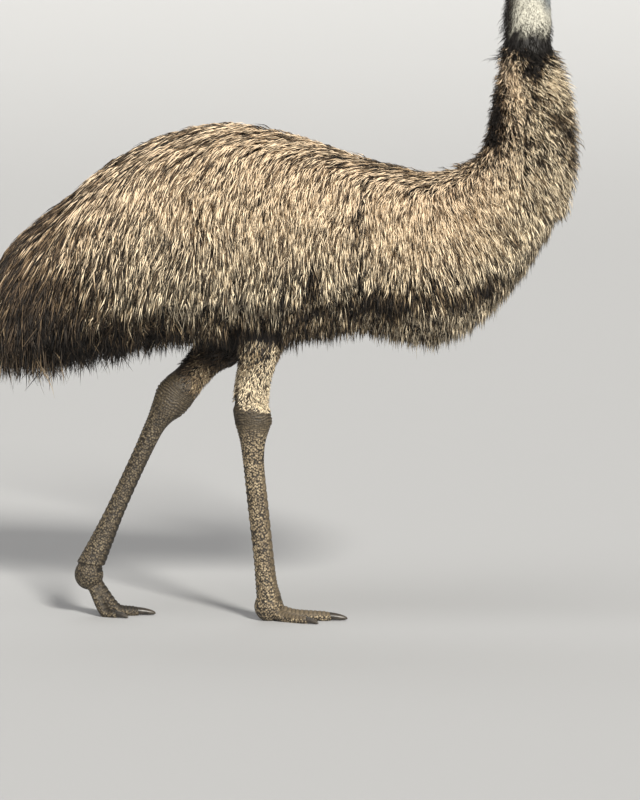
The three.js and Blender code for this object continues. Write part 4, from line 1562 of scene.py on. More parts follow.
@dataclass(frozen=True)
class Leg:
    """One leg: rows from top to bottom of front x and z, back x and z, half width and middle y."""

    side: Side
    shin: Rows
    shank: Rows
    ankle: tuple[float, float, float]
    stride: float
    touch: float
    block: tuple[float, float, float] = (30, 29, 32)
    taper: float = 0.32
    sole: float = 0.66

    def limb(self, rows: Rows, t: Array, angle: Array, grow: Array) -> Array:
        """Points of a limb: an ellipse between front and back edges, angle 0 at the front.

        Args:
            rows: the limb's rows.
            t: shares of its length.
            angle: angles round it, towards the left.
            grow: thickness added, in metres.

        Returns:
            Points.
        """
        row = along(np.array(rows) * MM, np.asarray(t) * (len(rows) - 1))
        front = np.stack([row[..., 0], 0 * row[..., 0], row[..., 1]], -1)
        back = np.stack([row[..., 2], 0 * row[..., 0], row[..., 3]], -1)
        reach = np.linalg.norm(front - back, axis=-1) / 2
        points = (front + back) / 2
        points = points + (front - back) * (np.cos(angle) * (reach + grow) / reach / 2)[..., None]
        points[..., 1] = self.side.value * row[..., 5] + (row[..., 4] + grow) * np.sin(angle)
        return points

    def tube(self, rows: Rows, rings: int, sides: int, thin: float) -> Shape:
        """A limb as a closed tube, thinner by a depth that fades out towards its end.

        Args:
            rows: the limb's rows.
            rings: how many rings.
            sides: how many points round a ring.
            thin: the depth taken off, in metres.

        Returns:
            The tube.
        """
        t = np.linspace(0, 1, rings)[:, None] + np.zeros((1, sides))
        grow = -thin * self.bare(t)
        angle = circle(sides)[None] + 0 * t
        return tube(self.limb(rows, t, angle, grow))

    @staticmethod
    def bare(t: Array) -> Array:
        """How deep the skin lies under the shin's feathers: 1 above, 0 where they end at the ankle."""
        return fade(0.84, 0.99, t)

    def toe_line(self, toe: Toe, t: Array) -> Array:
        """The middle line of a toe: out of the block, down to the floor and along it.

        Args:
            toe: the toe.
            t: shares of its reach.

        Returns:
            Points in metres.
        """
        x, z, y = self.ankle
        swing = math.radians(toe.swing) * -self.side.value
        reach = toe.reach * self.stride
        low = self.sole * toe.high * (1 - self.taper * t)
        high = (z - 4 - low) * fade(-0.1, self.touch, t)
        plan = [x + reach * t * math.cos(swing), self.side.value * y + reach * t * math.sin(swing)]
        return np.stack([plan[0], plan[1], low + high], -1) * MM

    def toe_shape(self, toe: Toe) -> Shape:
        """A toe as a closed tube of ellipses that narrow to a blunt tip, swollen at its pads.

        Args:
            toe: the toe.

        Returns:
            The tube.
        """
        t = np.linspace(0, 1, 44)
        line = self.toe_line(toe, t)
        ahead = unit(np.gradient(line, axis=0))[:, None]
        aside = unit(np.cross(np.array([0.0, 0.0, 1.0]), ahead))
        over = np.cross(ahead, aside)
        angle = circle(28)[None, :, None]
        pads = 1 + 0.07 * np.cos(2 * np.pi * toe.pads * t)
        blunt = np.sqrt(1 - smooth(0.86, 1.02, t) ** 2 * 0.75)
        half = (toe.half * (1 - self.taper * t) * pads * blunt * MM)[:, None, None]
        high = (toe.high * (1 - self.taper * t) * blunt * MM)[:, None, None]
        rings = line[:, None] + aside * half * np.sin(angle) + over * high * np.cos(angle)
        rings[..., 2] = np.maximum(rings[..., 2], 0)
        return tube(rings)

    def shapes(self, fluff: float) -> list[Shape]:
        """The leg's overlapping closed forms.

        Args:
            fluff: the depth of the short feathers on the shin, in metres.

        Returns:
            Shin, shank, block and toes.
        """
        x, z, y = self.ankle
        middle = (x * MM, self.side.value * y * MM, z * MM)
        block = ball(middle, tuple(v * MM for v in self.block), 40)
        block.points[:, 2] = np.maximum(block.points[:, 2], 0)
        forms = [self.tube(self.shin, 60, 48, fluff), self.tube(self.shank, 120, 48, 0.0), block]
        return forms + [self.toe_shape(toe) for toe in TOES]

    def nearest(self, points: Array) -> tuple[Array, Array]:
        """The nearest place on the leg's middle lines.

        Args:
            points: places.

        Returns:
            The line's number, SHIN, SHANK or from FIRST_TOE, and the share along it.
        """
        t = np.linspace(0, 1, 90)
        lines = [self.limb(rows, t, np.full(90, np.pi / 2), -10.0 * MM) for rows in (self.shin, self.shank)]
        for line, rows in zip(lines, (self.shin, self.shank)):
            middle = along(np.array(rows) * MM, t * (len(rows) - 1))
            line[:, 0] = (middle[:, 0] + middle[:, 2]) / 2
            line[:, 1] = self.side.value * middle[:, 5]
            line[:, 2] = (middle[:, 1] + middle[:, 3]) / 2
        lines += [self.toe_line(toe, t) for toe in TOES]
        found = []
        for line in lines:
            gap = np.linalg.norm(points[:, None] - line[None], axis=-1)
            i = gap.argmin(1)
            slope = np.gradient(line, t, axis=0)[i]
            onward = dot(points - line[i], slope)[:, 0] / dot(slope, slope)[:, 0]
            found.append((gap.min(1), np.clip(t[i] + onward, 0, 1)))
        which = np.stack([gap for gap, _ in found], 1).argmin(1)
        return which, np.stack([t_near for _, t_near in found], 1)[np.arange(len(points)), which]


RIGHT_LEG = Leg(
    side=Side.RIGHT,
    shin=(
        (23, 656, -100, 676, 50, 64),
        (8, 594, -100, 603, 46, 60),
        (-4, 551, -98, 558, 42, 57),
        (-17, 523, -97, 527, 38, 54),
        (-26, 496, -101, 500, 35, 51),
        (-30, 465, -106, 469, 33, 48),
        (-31, 443, -107, 447, 32, 46),
        (-29, 430, -106, 434, 31.5, 45),
    ),
    shank=(
        (-29, 430, -106, 434, 31.5, 45),
        (-25, 412, -103, 413, 31, 44),
        (-31, 394, -98, 395, 28, 43),
        (-39, 369, -91, 369, 23, 42),
        (-42, 342, -87, 342, 20, 41),
        (-41, 308, -83, 308, 18, 40),
        (-33, 230, -75, 230, 17.5, 37),
        (-23, 133, -64, 133, 19, 33),
        (-16, 78, -60, 80, 23, 31),
        (-6, 46, -58, 50, 27, 30),
    ),
    ankle=(-33, 29, 30),
    stride=1,
    touch=0.45,
)
LEFT_LEG = Leg(
    side=Side.LEFT,
    shin=(
        (20, 600, -105, 690, 50, 62),
        (-47, 552, -146, 622, 46, 60),
        (-96, 521, -172, 582, 41, 58),
        (-136, 502, -196, 549, 37, 57),
        (-158, 480, -218, 524, 35, 56),
        (-184, 449, -248, 491, 33, 55),
    ),
    shank=(
        (-184, 449, -248, 491, 33, 55),
        (-195, 432, -263, 474, 32, 55),
        (-211, 415, -273, 442, 30, 54),
        (-234, 400, -282, 414, 25, 54),
        (-251, 381, -293, 388, 21, 53),
        (-271, 344, -310, 348, 19, 52),
        (-300, 284, -338, 288, 18, 50),
        (-332, 212, -372, 217, 18, 48),
        (-355, 152, -404, 157, 22, 46),
        (-373, 104, -430, 112, 26, 45),
    ),
    ankle=(-405, 86, 45),
    stride=0.8,
    touch=0.64,
)
LEGS = (RIGHT_LEG, LEFT_LEG)


@dataclass
class ShinFeathers:
    """The short pale feathers of a shin, from the body down to the ankle's jagged edge."""

    leg: Leg
    count: int = 3900
    length: float = 15 * MM
    width: float = 2.2 * MM
    fluff: float = 6.5 * MM
    lowest: float = 1.0
    seed: int = 71

    def strands(self) -> Strands:
        """Strands that run down the shin: along its rows at a fixed angle, rising as they go.

        Returns:
            The strands.
        """
        draw = np.random.default_rng(self.seed)
        t = np.array(SHORT)[None]
        start = draw.uniform(0.2, self.lowest, (self.count, 1))
        angle = draw.uniform(0, 2 * np.pi, (self.count, 1))
        edge = 0.06 * np.sin(5 * angle + 2) + 0.05 * np.sin(13 * angle) + 0.24 * np.maximum(0, -np.cos(angle))
        start = start - smooth(0.4, 0.9, start) * (edge + 0.1 * draw.uniform(0, 1, (self.count, 1)) ** 2)
        rows = self.leg.shin
        span = np.linalg.norm(np.array(rows[0])[:2] - np.array(rows[-1])[:2]) * MM
        reach = self.length * draw.uniform(0.7, 1.3, (self.count, 1)) / span
        place = start + reach * (t - 0.5)
        swing = angle + draw.normal(0, 0.06, (self.count, 1)) * t * 3
        rank = draw.uniform(0, 1, (self.count, 1))
        deep = 0.3 + 0.85 * Leg.bare(place)
        lift = -self.fluff * deep + (self.fluff * (0.7 + 0.6 * rank) * (0.3 + 0.7 * deep)) * smooth(0, 1, t)
        middles = self.leg.limb(rows, np.minimum(place, 1.04), swing, lift)
        outer = self.leg.limb(rows, np.minimum(place, 1.04), swing, lift + 0.01)
        out = unit(outer - middles)
        half = self.width / 2 * draw.uniform(0.6, 1.25, (self.count, 1)) * tapered(t, 0.6)
        dark = draw.uniform(0, 1, (self.count, 1)) < 0.24
        # Painted shadow of the body: the shin's upper part, near the body, is darker; the roots are darker as
        # painted shade.
        high = fade(0.3, 0.75, start)
        tone = 1.35 + 0.1 * draw.normal(0, 1, (self.count, 1)) - 0.85 * dark - 0.45 * high - 0.15 * (1 - t)
        # The far, left leg's feathers are 0.65 darker: painted shade.
        tone = tone + 0.12 * waves(middles, 0.04, 8) - 0.65 * (self.leg.side is Side.LEFT)
        tone = tone - 0.5 * np.maximum(0, -np.cos(angle)) * (draw.uniform(0, 1, (self.count, 1)) < 0.6)
        root = np.concatenate([0.5 + 0.47 * (start - 0.5) / 0.5, angle / (2 * np.pi)], 1)
        half_map = 0.5 * root[:, 1:] + (0.0 if self.leg.side is Side.RIGHT else 0.5)
        root = inside(np.concatenate([root[:, :1], half_map], 1))
        rosy = np.zeros(self.count)
        return Strands(middles, out, half, tone, rosy, root, self.seed)

    def build(self, material: bpy.types.Material) -> bpy.types.Object:
        """The feathers as a piece in the scene."""
        piece = self.strands().build(f"shin_feathers_{self.leg.side.hand}", material)
        return shown(piece)


# Head


@dataclass(frozen=True)
class Head:
    """The head along its own x axis from the back of the skull, in millimetres."""

    origin: tuple[float, float, float] = (480, 0, 1585)
    nod: float = 6
    outline: Rows = (
        (0, 24, 4, 9),
        (8, 37, -6, 19),
        (22, 47, -15, 26),
        (40, 51, -18, 29),
        (58, 49, -16, 28),
        (75, 41, -12, 23.5),
        (90, 33, -9, 19),
    )
    bill: Rows = (
        (80, 34, -8, 18.5),
        (95, 30, -8, 17.5),
        (112, 26, -7.5, 16),
        (130, 21, -6.5, 13.5),
        (144, 15, -5, 9.5),
        (153, 8, -2, 5),
        (155.5, 4, 0, 2),
    )
    mouth: tuple[float, float, float] = (3, 62, 0.4)
    eye: tuple[float, float, float] = (56, 18.3, 25)
    almond: float = 1.12
    lid: tuple[float, float, float] = (13.6, 3.3, 28.2)
    ear: tuple[float, float, float] = (21, 26, 9)
    nostril: tuple[float, float, float] = (113, 15.5, 14.5)

    def out(self, local: Array) -> Array:
        """Points given along the head's axes, in the shared frame: turned by the nod about y, then moved.

        Args:
            local: points along the head's axes, in millimetres.

        Returns:
            Points in metres.
        """
        nod = math.radians(self.nod)
        x = local[..., 0] * math.cos(nod) + local[..., 2] * math.sin(nod)
        z = -local[..., 0] * math.sin(nod) + local[..., 2] * math.cos(nod)
        return (np.stack([x, local[..., 1], z], -1) + np.array(self.origin)) * MM

    def back(self, points: Array) -> Array:
        """Points of the shared frame along the head's own axes: moved, then turned back.

        Args:
            points: places in metres.

        Returns:
            Points in millimetres.
        """
        nod = math.radians(self.nod)
        p = points / MM - np.array(self.origin)
        x = p[..., 0] * math.cos(nod) - p[..., 2] * math.sin(nod)
        z = p[..., 0] * math.sin(nod) + p[..., 2] * math.cos(nod)
        return np.stack([x, p[..., 1], z], -1)

    def skull(self) -> Shape:
        """The head as a tube of ellipses between crown and throat."""
        x = np.linspace(0, 92, 60)[:, None]
        angle = circle(48)[None]
        row = at(self.outline, x[:, 0])[:, None]
        top, low, half = row[..., 1], row[..., 2], row[..., 3]
        z = (top + low) / 2 + (top - low) / 2 * np.cos(angle)
        return tube(self.out(np.stack([x + 0 * angle, half * np.sin(angle), z], -1)))

    def lids(self) -> list[Shape]:
        """The swollen rims round both eyes, as rings: a tube bent round the eye's axis.

        Returns:
            The right and the left rim.
        """
        radius, thick, y = self.lid
        shapes = []
        for side in Side:
            turn = circle(48)[:, None]
            round_ = circle(16)[None]
            heavy = thick * (1 + 0.25 * np.sin(turn) + 0.12 * np.sin(3 * turn + 1))
            reach = radius + heavy * np.cos(round_)
            x = self.eye[0] + self.almond * reach * np.cos(turn)
            z = self.eye[2] + reach * np.sin(turn) * (1 - 0.07 * np.maximum(0, np.sin(turn)))
            rings = np.stack([x, side.value * (y + heavy * np.sin(round_)), z], -1)
            index = np.arange(48 * 16).reshape(48, 16)
            onward = np.roll(index, -1, 1)
            next_ = np.roll(index, -1, 0)
            both = np.roll(onward, -1, 0)
            corners = np.stack([index, onward, both, next_], -1).reshape(-1)
            shapes.append(Shape(self.out(rings).reshape(-1, 3), corners, np.full(48 * 16, 4)).outward())
        return shapes

    def mouth_height(self, x: Array) -> Array:
        """The height of the line where the bill's halves meet."""
        return self.mouth[0] * fade(62, 150, x)

    def carved(self, local: Array) -> tuple[Array, Array]:
        """Head points with eye sockets, ears, the mouth's line, brow and folds worked into them.

        Each feature is a smooth bump or hollow of the distance from its middle or line.

        Args:
            local: points along the head's axes.

        Returns:
            Moved points, and how dark each place is, with painted shade in the ear's hollow, the mouth's line
            and the eye's socket.
        """
        moved = local.copy()
        x, y, z = local[:, 0], local[:, 1], local[:, 2]
        side = np.sign(y)
        flat = np.hypot((x - self.eye[0]) / self.almond, z - self.eye[2])
        socket = fade(7.6, 9.8, flat) * (np.abs(y) > 12)
        moved[:, 1] -= side * socket * np.maximum(0, np.abs(y) - 17)
        ear = np.hypot(x - self.ear[0], z - self.ear[2])
        hollow = fade(2.4, 5.4, ear) * (np.abs(y) > 12)
        rim = bell(ear, 6.4, 1.4) * (np.abs(y) > 12)
        moved[:, 1] -= side * (3.4 * hollow - 1.1 * rim)
        reach = (x > 60) * (x < 96) * fade(20, 34, np.abs(z))
        line = bell(z, self.mouth_height(x), 1.1) * reach * smooth(58, 66, x)
        lip = bell(z - self.mouth_height(x), 2.6, 1.6) * reach * smooth(58, 66, x)
        moved[:, 1] -= side * (1.7 * line - 0.7 * lip)
        brow = bell(flat, 14.5, 2.4) * smooth(2, 10, z - self.eye[2]) * (np.abs(y) > 8)
        moved[:, 1] += side * 1.5 * brow
        moved[:, 2] += 0.8 * brow
        fold = np.sin((flat - 12) * 1.7) * bell(flat, 18.5, 4.5) * (np.abs(y) > 10)
        moved[:, 1] += side * 0.55 * fold
        round_ = np.arctan2(z - self.eye[2], x - self.eye[0])
        pleat = np.sin(17 * round_ + 2 * np.sin(3 * round_)) * bell(flat, 13.5, 2.6)
        moved[:, 1] += side * 0.3 * pleat * (np.abs(y) > 10)
        rim = 0.95 * bell(flat, 9.2, 2.0) * (np.abs(y) > 12)
        lore = 0.4 * np.exp(-(((x - 82) / 11) ** 2) - ((z - 16) / 14) ** 2)
        # Painted shade in the ear's hollow, along the mouth's line and in the eye's socket; the rim round the
        # eye and the lore are darkened too.
        return moved, np.clip(1.2 * hollow + 0.8 * line + socket + rim + lore, 0, 1)


HEAD = Head()


@dataclass
class Skin:
    """The one skin under and between the plumage: trunk, bare neck, head, legs and feet."""

    under: float = 0.5
    fluff: float = 5 * MM
    head_grain: float = 2.0 * MM
    leg_grain: float = 1.9 * MM
    head_share: float = 0.5
    leg_share: float = 0.5
    rows: int = 44

    def trunk(self) -> Shape:
        """The trunk from rump to the ruff's top as a closed tube of its stations, inside the coat."""
        s = np.linspace(0.05, 23.6, 150)[:, None] + np.zeros((1, 72))
        turn = circle(72)[None] + 0 * s
        lift = self.under + (0.93 - self.under) * smooth(21.2, 23.4, s)
        return tube(TRUNK.place(s, turn, lift))

    def neck_and_head(self) -> Shape:
        """The bare neck and the head, fused, smoothed, and carved with the face's folds.

        Returns:
            The closed surface.
        """
        s = np.linspace(22.6, 30, 130)[:, None] + np.zeros((1, 64))
        turn = circle(64)[None] + 0 * s
        lift = 0.93 + 0.07 * smooth(23, 24.5, s)
        neck = tube(TRUNK.place(s, turn, lift))
        whole = fused([neck, HEAD.skull(), *HEAD.lids()], self.head_grain, "neck")
        whole = relaxed(whole, 3, 0.6)
        local = HEAD.back(whole.points)
        seam = bell(local[:, 2], -12, 16) * (local[:, 0] < 70)
        whole = relaxed(whole, 14, seam * 0.8)
        moved, _ = HEAD.carved(HEAD.back(whole.points))
        whole.points = HEAD.out(moved)
        return thinned(self.wrinkled(whole), self.head_share, "neck")

    def wrinkled(self, shape: Shape) -> Shape:
        """Loose skin on the bare neck: rings of shallow folds, as waves of height bent by a soft field.

        Args:
            shape: neck and head.

        Returns:
            The folded shape.
        """
        z = shape.points[:, 2]
        bare = smooth(1.17, 1.23, z) * fade(1.5, 1.56, z)
        bend = 0.012 * waves(shape.points, 0.07, 31)
        fold = np.sin((z + bend) * 2 * np.pi / 0.011) * (0.5 + 0.5 * waves(shape.points, 0.04, 32))
        shape.points = shape.points + normals(shape) * (bare * fold * 0.45 * MM)[:, None]
        return shape

    def leg(self, leg: Leg) -> Shape:
        """A leg, fused, smoothed, and worked with scutes, pads, a bead row and an ankle's wrinkles.

        Args:
            leg: the leg.

        Returns:
            The closed surface.
        """
        whole = fused(leg.shapes(self.fluff), self.leg_grain, "leg")
        whole = relaxed(whole, 4, 0.6)
        which, share = leg.nearest(whole.points)
        out = normals(whole)
        rise = np.zeros(len(whole.points))
        shank = which == SHANK
        cover, step = self.scutes(out, which, share)
        rise += cover * (step - 0.5) * 1.2 * MM
        back = np.maximum(0, -out[:, 0]) ** 4 * smooth(0.1, 0.2, share) * fade(0.93, 1, share)
        bead = np.maximum(0, np.sin(share * 2 * np.pi * self.rows))
        rise += shank * back * bead * 1.4 * MM
        rise -= shank * self.creases(whole.points, share) * 1.7 * MM
        whole.points = whole.points + out * rise[:, None]
        whole = thinned(whole, self.leg_share, "leg")
        whole.points[:, 2] = np.maximum(whole.points[:, 2], 0.0002)
        flat = whole.points[:, 2] < 1.2 * MM
        whole.points[flat, 2] = 0.0
        return whole

    @staticmethod
    def scutes(out: Array, which: Array, share: Array) -> tuple[Array, Array]:
        """The broad scutes on the toes' tops and the lower shank's front.

        Args:
            out: outward directions.
            which: the leg's line that each point is nearest to.
            share: shares of that line's length.

        Returns:
            How far scutes cover each place, and their stepped height, 0 in the gaps.
        """
        rows = share * 42
        cover = (which == SHANK) * smooth(0.45, 0.85, out[:, 0]) * smooth(0.5, 0.66, share)
        for number, toe in enumerate(TOES):
            on = which == number + FIRST_TOE
            rows = np.where(on, share * toe.scutes * 1.6, rows)
            cover = np.where(on, smooth(0.1, 0.6, out[:, 2]), cover)
        saw = rows % 1
        return cover, smooth(0, 0.3, saw) * fade(0.8, 1, saw)

    def creases(self, points: Array, share: Array) -> Array:
        """The ankle's creases across the shank: a sine of its length, bent by a soft field.

        Args:
            points: places.
            share: shares of the shank's length.

        Returns:
            Depths from 0 to 1, deepest in the lines, fading down the shank.
        """
        line = np.sin(share * 2 * np.pi * self.rows + 2.5 * waves(points, 0.03, 41))
        near = fade(0.14, 0.36, share)
        return near * smooth(-0.35, 0.45, line)

    def legs(self, points: Array, out: Array, numbers: dict[str, Array]) -> None:
        """Sets the legs' numbers: scales below the shin's edge, creases with painted shade in them, scutes,
        beads and the far leg's painted shade.

        Args:
            points: the skin's points.
            out: their outward directions.
            numbers: the numbers by name, changed in place.
        """
        for leg in LEGS:
            near = (points[:, 1] * leg.side.value > 0) & (points[:, 2] < 0.5)
            which, share = leg.nearest(points[near])
            behind = np.maximum(0, -out[near, 0])
            jag = 0.08 * waves(points[near], 0.012, 61) + 0.24 * behind
            scaled = np.where(which == SHIN, smooth(0.88, 0.94, share + jag), 1)
            ankle = np.where(which == SHANK, fade(0.08, 0.34, share), which == SHIN)
            # The far, left leg is 0.52 darker above the ankle: painted shade.
            grey = 0.9 - 0.45 * ankle - 0.52 * (leg.side is Side.LEFT) * (1 - ankle)
            cover, step = self.scutes(out[near], which, share)
            grey -= cover * (0.3 + 0.4 * (1 - step)) * (1 - ankle)
            reach = np.where(which == SHIN, (share - 1) * 0.7, share)
            # Painted shade in the ankle's creases.
            grey -= 0.8 * self.creases(points[near], reach) * (which <= SHANK) * grey
            row = behind**3 * np.maximum(0, np.sin(share * 2 * np.pi * self.rows))
            numbers["scaled"][near] = scaled
            numbers["open"][near] = (1 - 0.6 * ankle) * (1 - 0.9 * cover)
            numbers["tone"][near] += scaled * (grey - numbers["tone"][near])
            numbers["bead"][near] = (which == SHANK) * row * smooth(0.1, 0.2, share)

    def numbers(self, points: Array, out: Array) -> dict[str, Array]:
        """The numbers that the skin's finish reads at each point.

        Args:
            points: the skin's points.
            out: their outward directions.

        Returns:
            Tone, bare skin, face, scales, dark places with painted shade in the head's hollows, beads and how
            open the small scales lie.
        """
        local = HEAD.back(points)
        high = points[:, 2]
        rough = 0.005 * waves(points, 0.03, 51) + 0.005 * waves(points, 0.008, 53)
        neck = smooth(1.183, 1.21, high + rough)
        front = smooth(0.498, 0.54, points[:, 0]) * (high > 1.2)
        grey = smooth(1.258, 1.31, high + 0.03 * front + 0.008 * waves(points, 0.05, 52))
        _, dark = HEAD.carved(local)
        numbers = {
            # The skin under the plumage takes the markings 0.3 darker: a dark layer of painted shade seen in
            # the plumage's gaps.
            "tone": MARKINGS.tone(points) - 0.3,
            "bare": neck,
            "face": np.maximum(smooth(-30, 5, local[:, 2]) * (high > 1.45), 0.85 * grey),
            "scaled": np.zeros(len(points)),
            # Dark places: painted shade in the head's hollows, the darker rim round the eye and lore, and
            # black skin under the neck's black band.
            "dark": np.maximum(dark * (high > 1.5), smooth(1.14, 1.15, high) * (1 - neck)),
            "bead": np.zeros(len(points)),
            "open": np.ones(len(points)),
        }
        self.legs(points, out, numbers)
        return numbers

    def build(self, material: bpy.types.Material) -> bpy.types.Object:
        """The skin as one piece, with the numbers that its finish reads.

        Args:
            material: the skin's finish.

        Returns:
            The piece.
        """
        whole = merged([self.neck_and_head(), *(self.leg(leg) for leg in LEGS), self.trunk()])
        mesh = whole.mesh("skin")
        for name, values in self.numbers(whole.points, normals(whole)).items():
            floats(mesh, name, np.clip(values, 0, 1))
        mesh.materials.append(material)
        flesh = ["tail", "torso", "neck_base", "neck_lower", "neck_upper", "head", "wing_right", "wing_left"]
        for leg in LEGS:
            flesh += [f"leg_{leg.side.hand}_shin", f"leg_{leg.side.hand}_shank", f"foot_{leg.side.hand}"]
            flesh += [f"toe_{leg.side.hand}_{toe.name}" for toe in TOES]
        return shown(bpy.data.objects.new("skin", mesh), tuple(flesh))


# Eyes, bill and claws


@dataclass
class Eye:
    """One eyeball with a slightly bulging cornea."""

    side: Side
    radius: float = 12.6
    seen: float = 10.5

    def build(self, material: bpy.types.Material) -> bpy.types.Object:
        """The eye: circles round its axis, y = cos(a) and radius sin(a), with a bulge near the axis.

        Args:
            material: the eye's finish.

        Returns:
            The piece.
        """
        rise = np.linspace(0.03, math.pi - 0.03, 48)[:, None]
        turn = circle(64)[None]
        x, y, z = HEAD.eye
        bulge = self.radius + 0.7 * bell(rise, 0, 0.5)
        local = [
            x + bulge * np.sin(rise) * np.cos(turn),
            self.side.value * (y + bulge * np.cos(rise)) + 0 * turn,
            z + bulge * np.sin(rise) * np.sin(turn),
        ]
        shape = tube(HEAD.out(np.stack(local, -1)))
        mesh = shape.mesh(f"eye_{self.side.hand}")
        around = np.repeat(rise, 64, axis=1).ravel()
        radius = np.append(np.sin(np.minimum(around, math.pi / 2)) * self.radius / self.seen, [0, 2])
        floats(mesh, "radius", radius)
        angle = np.append(np.tile(turn.ravel(), 48), [0, 0])
        uv = np.stack([np.cos(angle), np.sin(angle)], -1)
        layer = mesh.uv_layers.new(name="Iris")
        layer.uv.foreach_set("vector", uv[shape.corners].astype(np.float32).ravel())
        mesh.materials.append(material)
        name = f"eye_ball_{self.side.hand}"
        return shown(bpy.data.objects.new(name, mesh), (f"eye_{self.side.hand}",))


class BillHalf(Enum):
    """The bill's two halves."""

    UPPER = "bill_upper"
    LOWER = "bill_lower"


@dataclass
class Bill:
    """One half of the bill, above or below the mouth's line."""

    half: BillHalf
    ends: tuple[float, float] = (83, 155.5)
    rings: int = 90
    arc: int = 44
    chord: int = 16
    ridge: float = 0.9
    nostril: tuple[float, float, float] = (8.5, 2.6, 2.6)
    bow: float = 0.8

    def build(self, material: bpy.types.Material) -> bpy.types.Object:
        """The half: at each x an arc of the outline's ellipse, closed by a chord along the mouth's line.

        Args:
            material: the horn's finish.

        Returns:
            The piece.
        """
        x = self.ends[0] + (self.ends[1] - self.ends[0]) * np.linspace(0, 1, self.rings) ** 0.9
        row = at(HEAD.bill, x)
        top, low, wide = row[:, 1], row[:, 2], row[:, 3]
        mouth = HEAD.mouth_height(x)
        middle = (top + low) / 2
        high = (top - low) / 2
        upper = self.half is BillHalf.UPPER
        edge = np.arccos(np.clip((mouth - middle) / high, -0.999, 0.999))
        t = np.linspace(-1, 1, self.arc)[None]
        angle = edge[:, None] * t if upper else np.pi + (np.pi - edge[:, None]) * t
        y = wide[:, None] * np.sin(angle)
        z = middle[:, None] + high[:, None] * np.cos(angle)
        gap = HEAD.mouth[2] * (1 if upper else -1)
        z = z + gap * bell(z, mouth[:, None], 1.5)
        if upper:
            z = z + self.ridge * bell(y, 0, 2.6) * smooth(0, 0.3, (x[:, None] - 80) / 70)
            wall = bell(z, (mouth + 0.42 * (top - mouth))[:, None], 1.5)
            y = y * (1 - 0.05 * wall * fade(132, 150, x[:, None]))
        side = np.sign(y)
        long, high, deep = self.nostril
        hole = ((x[:, None] - HEAD.nostril[0]) / long) ** 2 + ((z - HEAD.nostril[2]) / high) ** 2
        pit = np.exp(-(hole**2)) * upper
        y = y - side * deep * pit
        ends = np.linspace(1, -1, self.chord + 2)[1:-1][None]
        flat_y = y[:, -1:] * ends
        flat_z = z[:, -1:] + (self.bow if upper else -self.bow) * (ends**2 - 1)
        ring_y = np.concatenate([y, flat_y], 1)
        ring_z = np.concatenate([z, flat_z], 1)
        shape = tube(HEAD.out(np.stack([x[:, None] + 0 * ring_y, ring_y, ring_z], -1)))
        mesh = shape.mesh(self.half.value)
        inner = np.zeros((self.rings, self.chord))
        # The nostril's pit is painted near black: painted shade in the opening.
        floats(mesh, "dark", np.append(np.concatenate([pit, inner], 1).ravel(), [0, 0]).clip(0, 1))
        worn = bell(z, mouth[:, None], 2.0) + smooth(135, 155, x)[:, None]
        floats(mesh, "worn", np.append(np.concatenate([worn, inner], 1).ravel(), [0, 1]).clip(0, 1))
        mesh.materials.append(material)
        name = f"horn_{self.half.value}"
        return shown(bpy.data.objects.new(name, mesh), (self.half.value,))


@dataclass
class Claw:
    """One claw out of a toe's tip."""

    leg: Leg
    toe: Toe
    half: float = 8
    high: float = 7.5
    droop: float = 2.5
    root: float = 0.08

    def build(self, material: bpy.types.Material) -> bpy.types.Object:
        """The claw: ellipses along a drooping line, of half size sqrt(1 - t squared), ridged above.

        Args:
            material: the horn's finish.

        Returns:
            The piece.
        """
        t = np.linspace(0, 0.995, 40)[:, None, None]
        angle = circle(28)[None, :, None]
        line = self.leg.toe_line(self.toe, np.array([0.9, 1 - self.root, 0.98, 1.0])) / MM
        ahead = unit(line[3] - line[2])
        aside = unit(np.cross([0.0, 0.0, 1.0], ahead))
        length = self.toe.claw + self.toe.reach * self.root
        size = self.toe.half / TOES[1].half
        fall = np.array([0.0, 0.0, 1.0]) * (2 - self.droop * t * (1 + t))
        middle = line[1] + ahead * length * t
        middle[..., 2] = line[1][2]
        taper = np.sqrt(1 - t * t)
        ridge = 1 + 0.12 * np.maximum(0, np.cos(angle)) ** 6
        points = middle + fall + aside * self.half * size * taper * np.sin(angle)
        points[..., 2] += (self.high * size * taper * np.cos(angle) * ridge)[..., 0]
        points[..., 2] = np.maximum(points[..., 2], 0)
        shape = tube(points * MM)
        name = f"claw_{self.leg.side.hand}_{self.toe.name}"
        mesh = shape.mesh(name)
        floats(mesh, "worn", np.append(np.repeat(smooth(0.5, 1, t[:, 0, 0]), 28), [0, 1]))
        floats(mesh, "dark", np.append(np.repeat(fade(0, 0.35, t[:, 0, 0]), 28), [1, 0]) * 0.5)
        mesh.materials.append(material)
        return shown(bpy.data.objects.new(f"horn_{name}", mesh), (name,))


# Studio


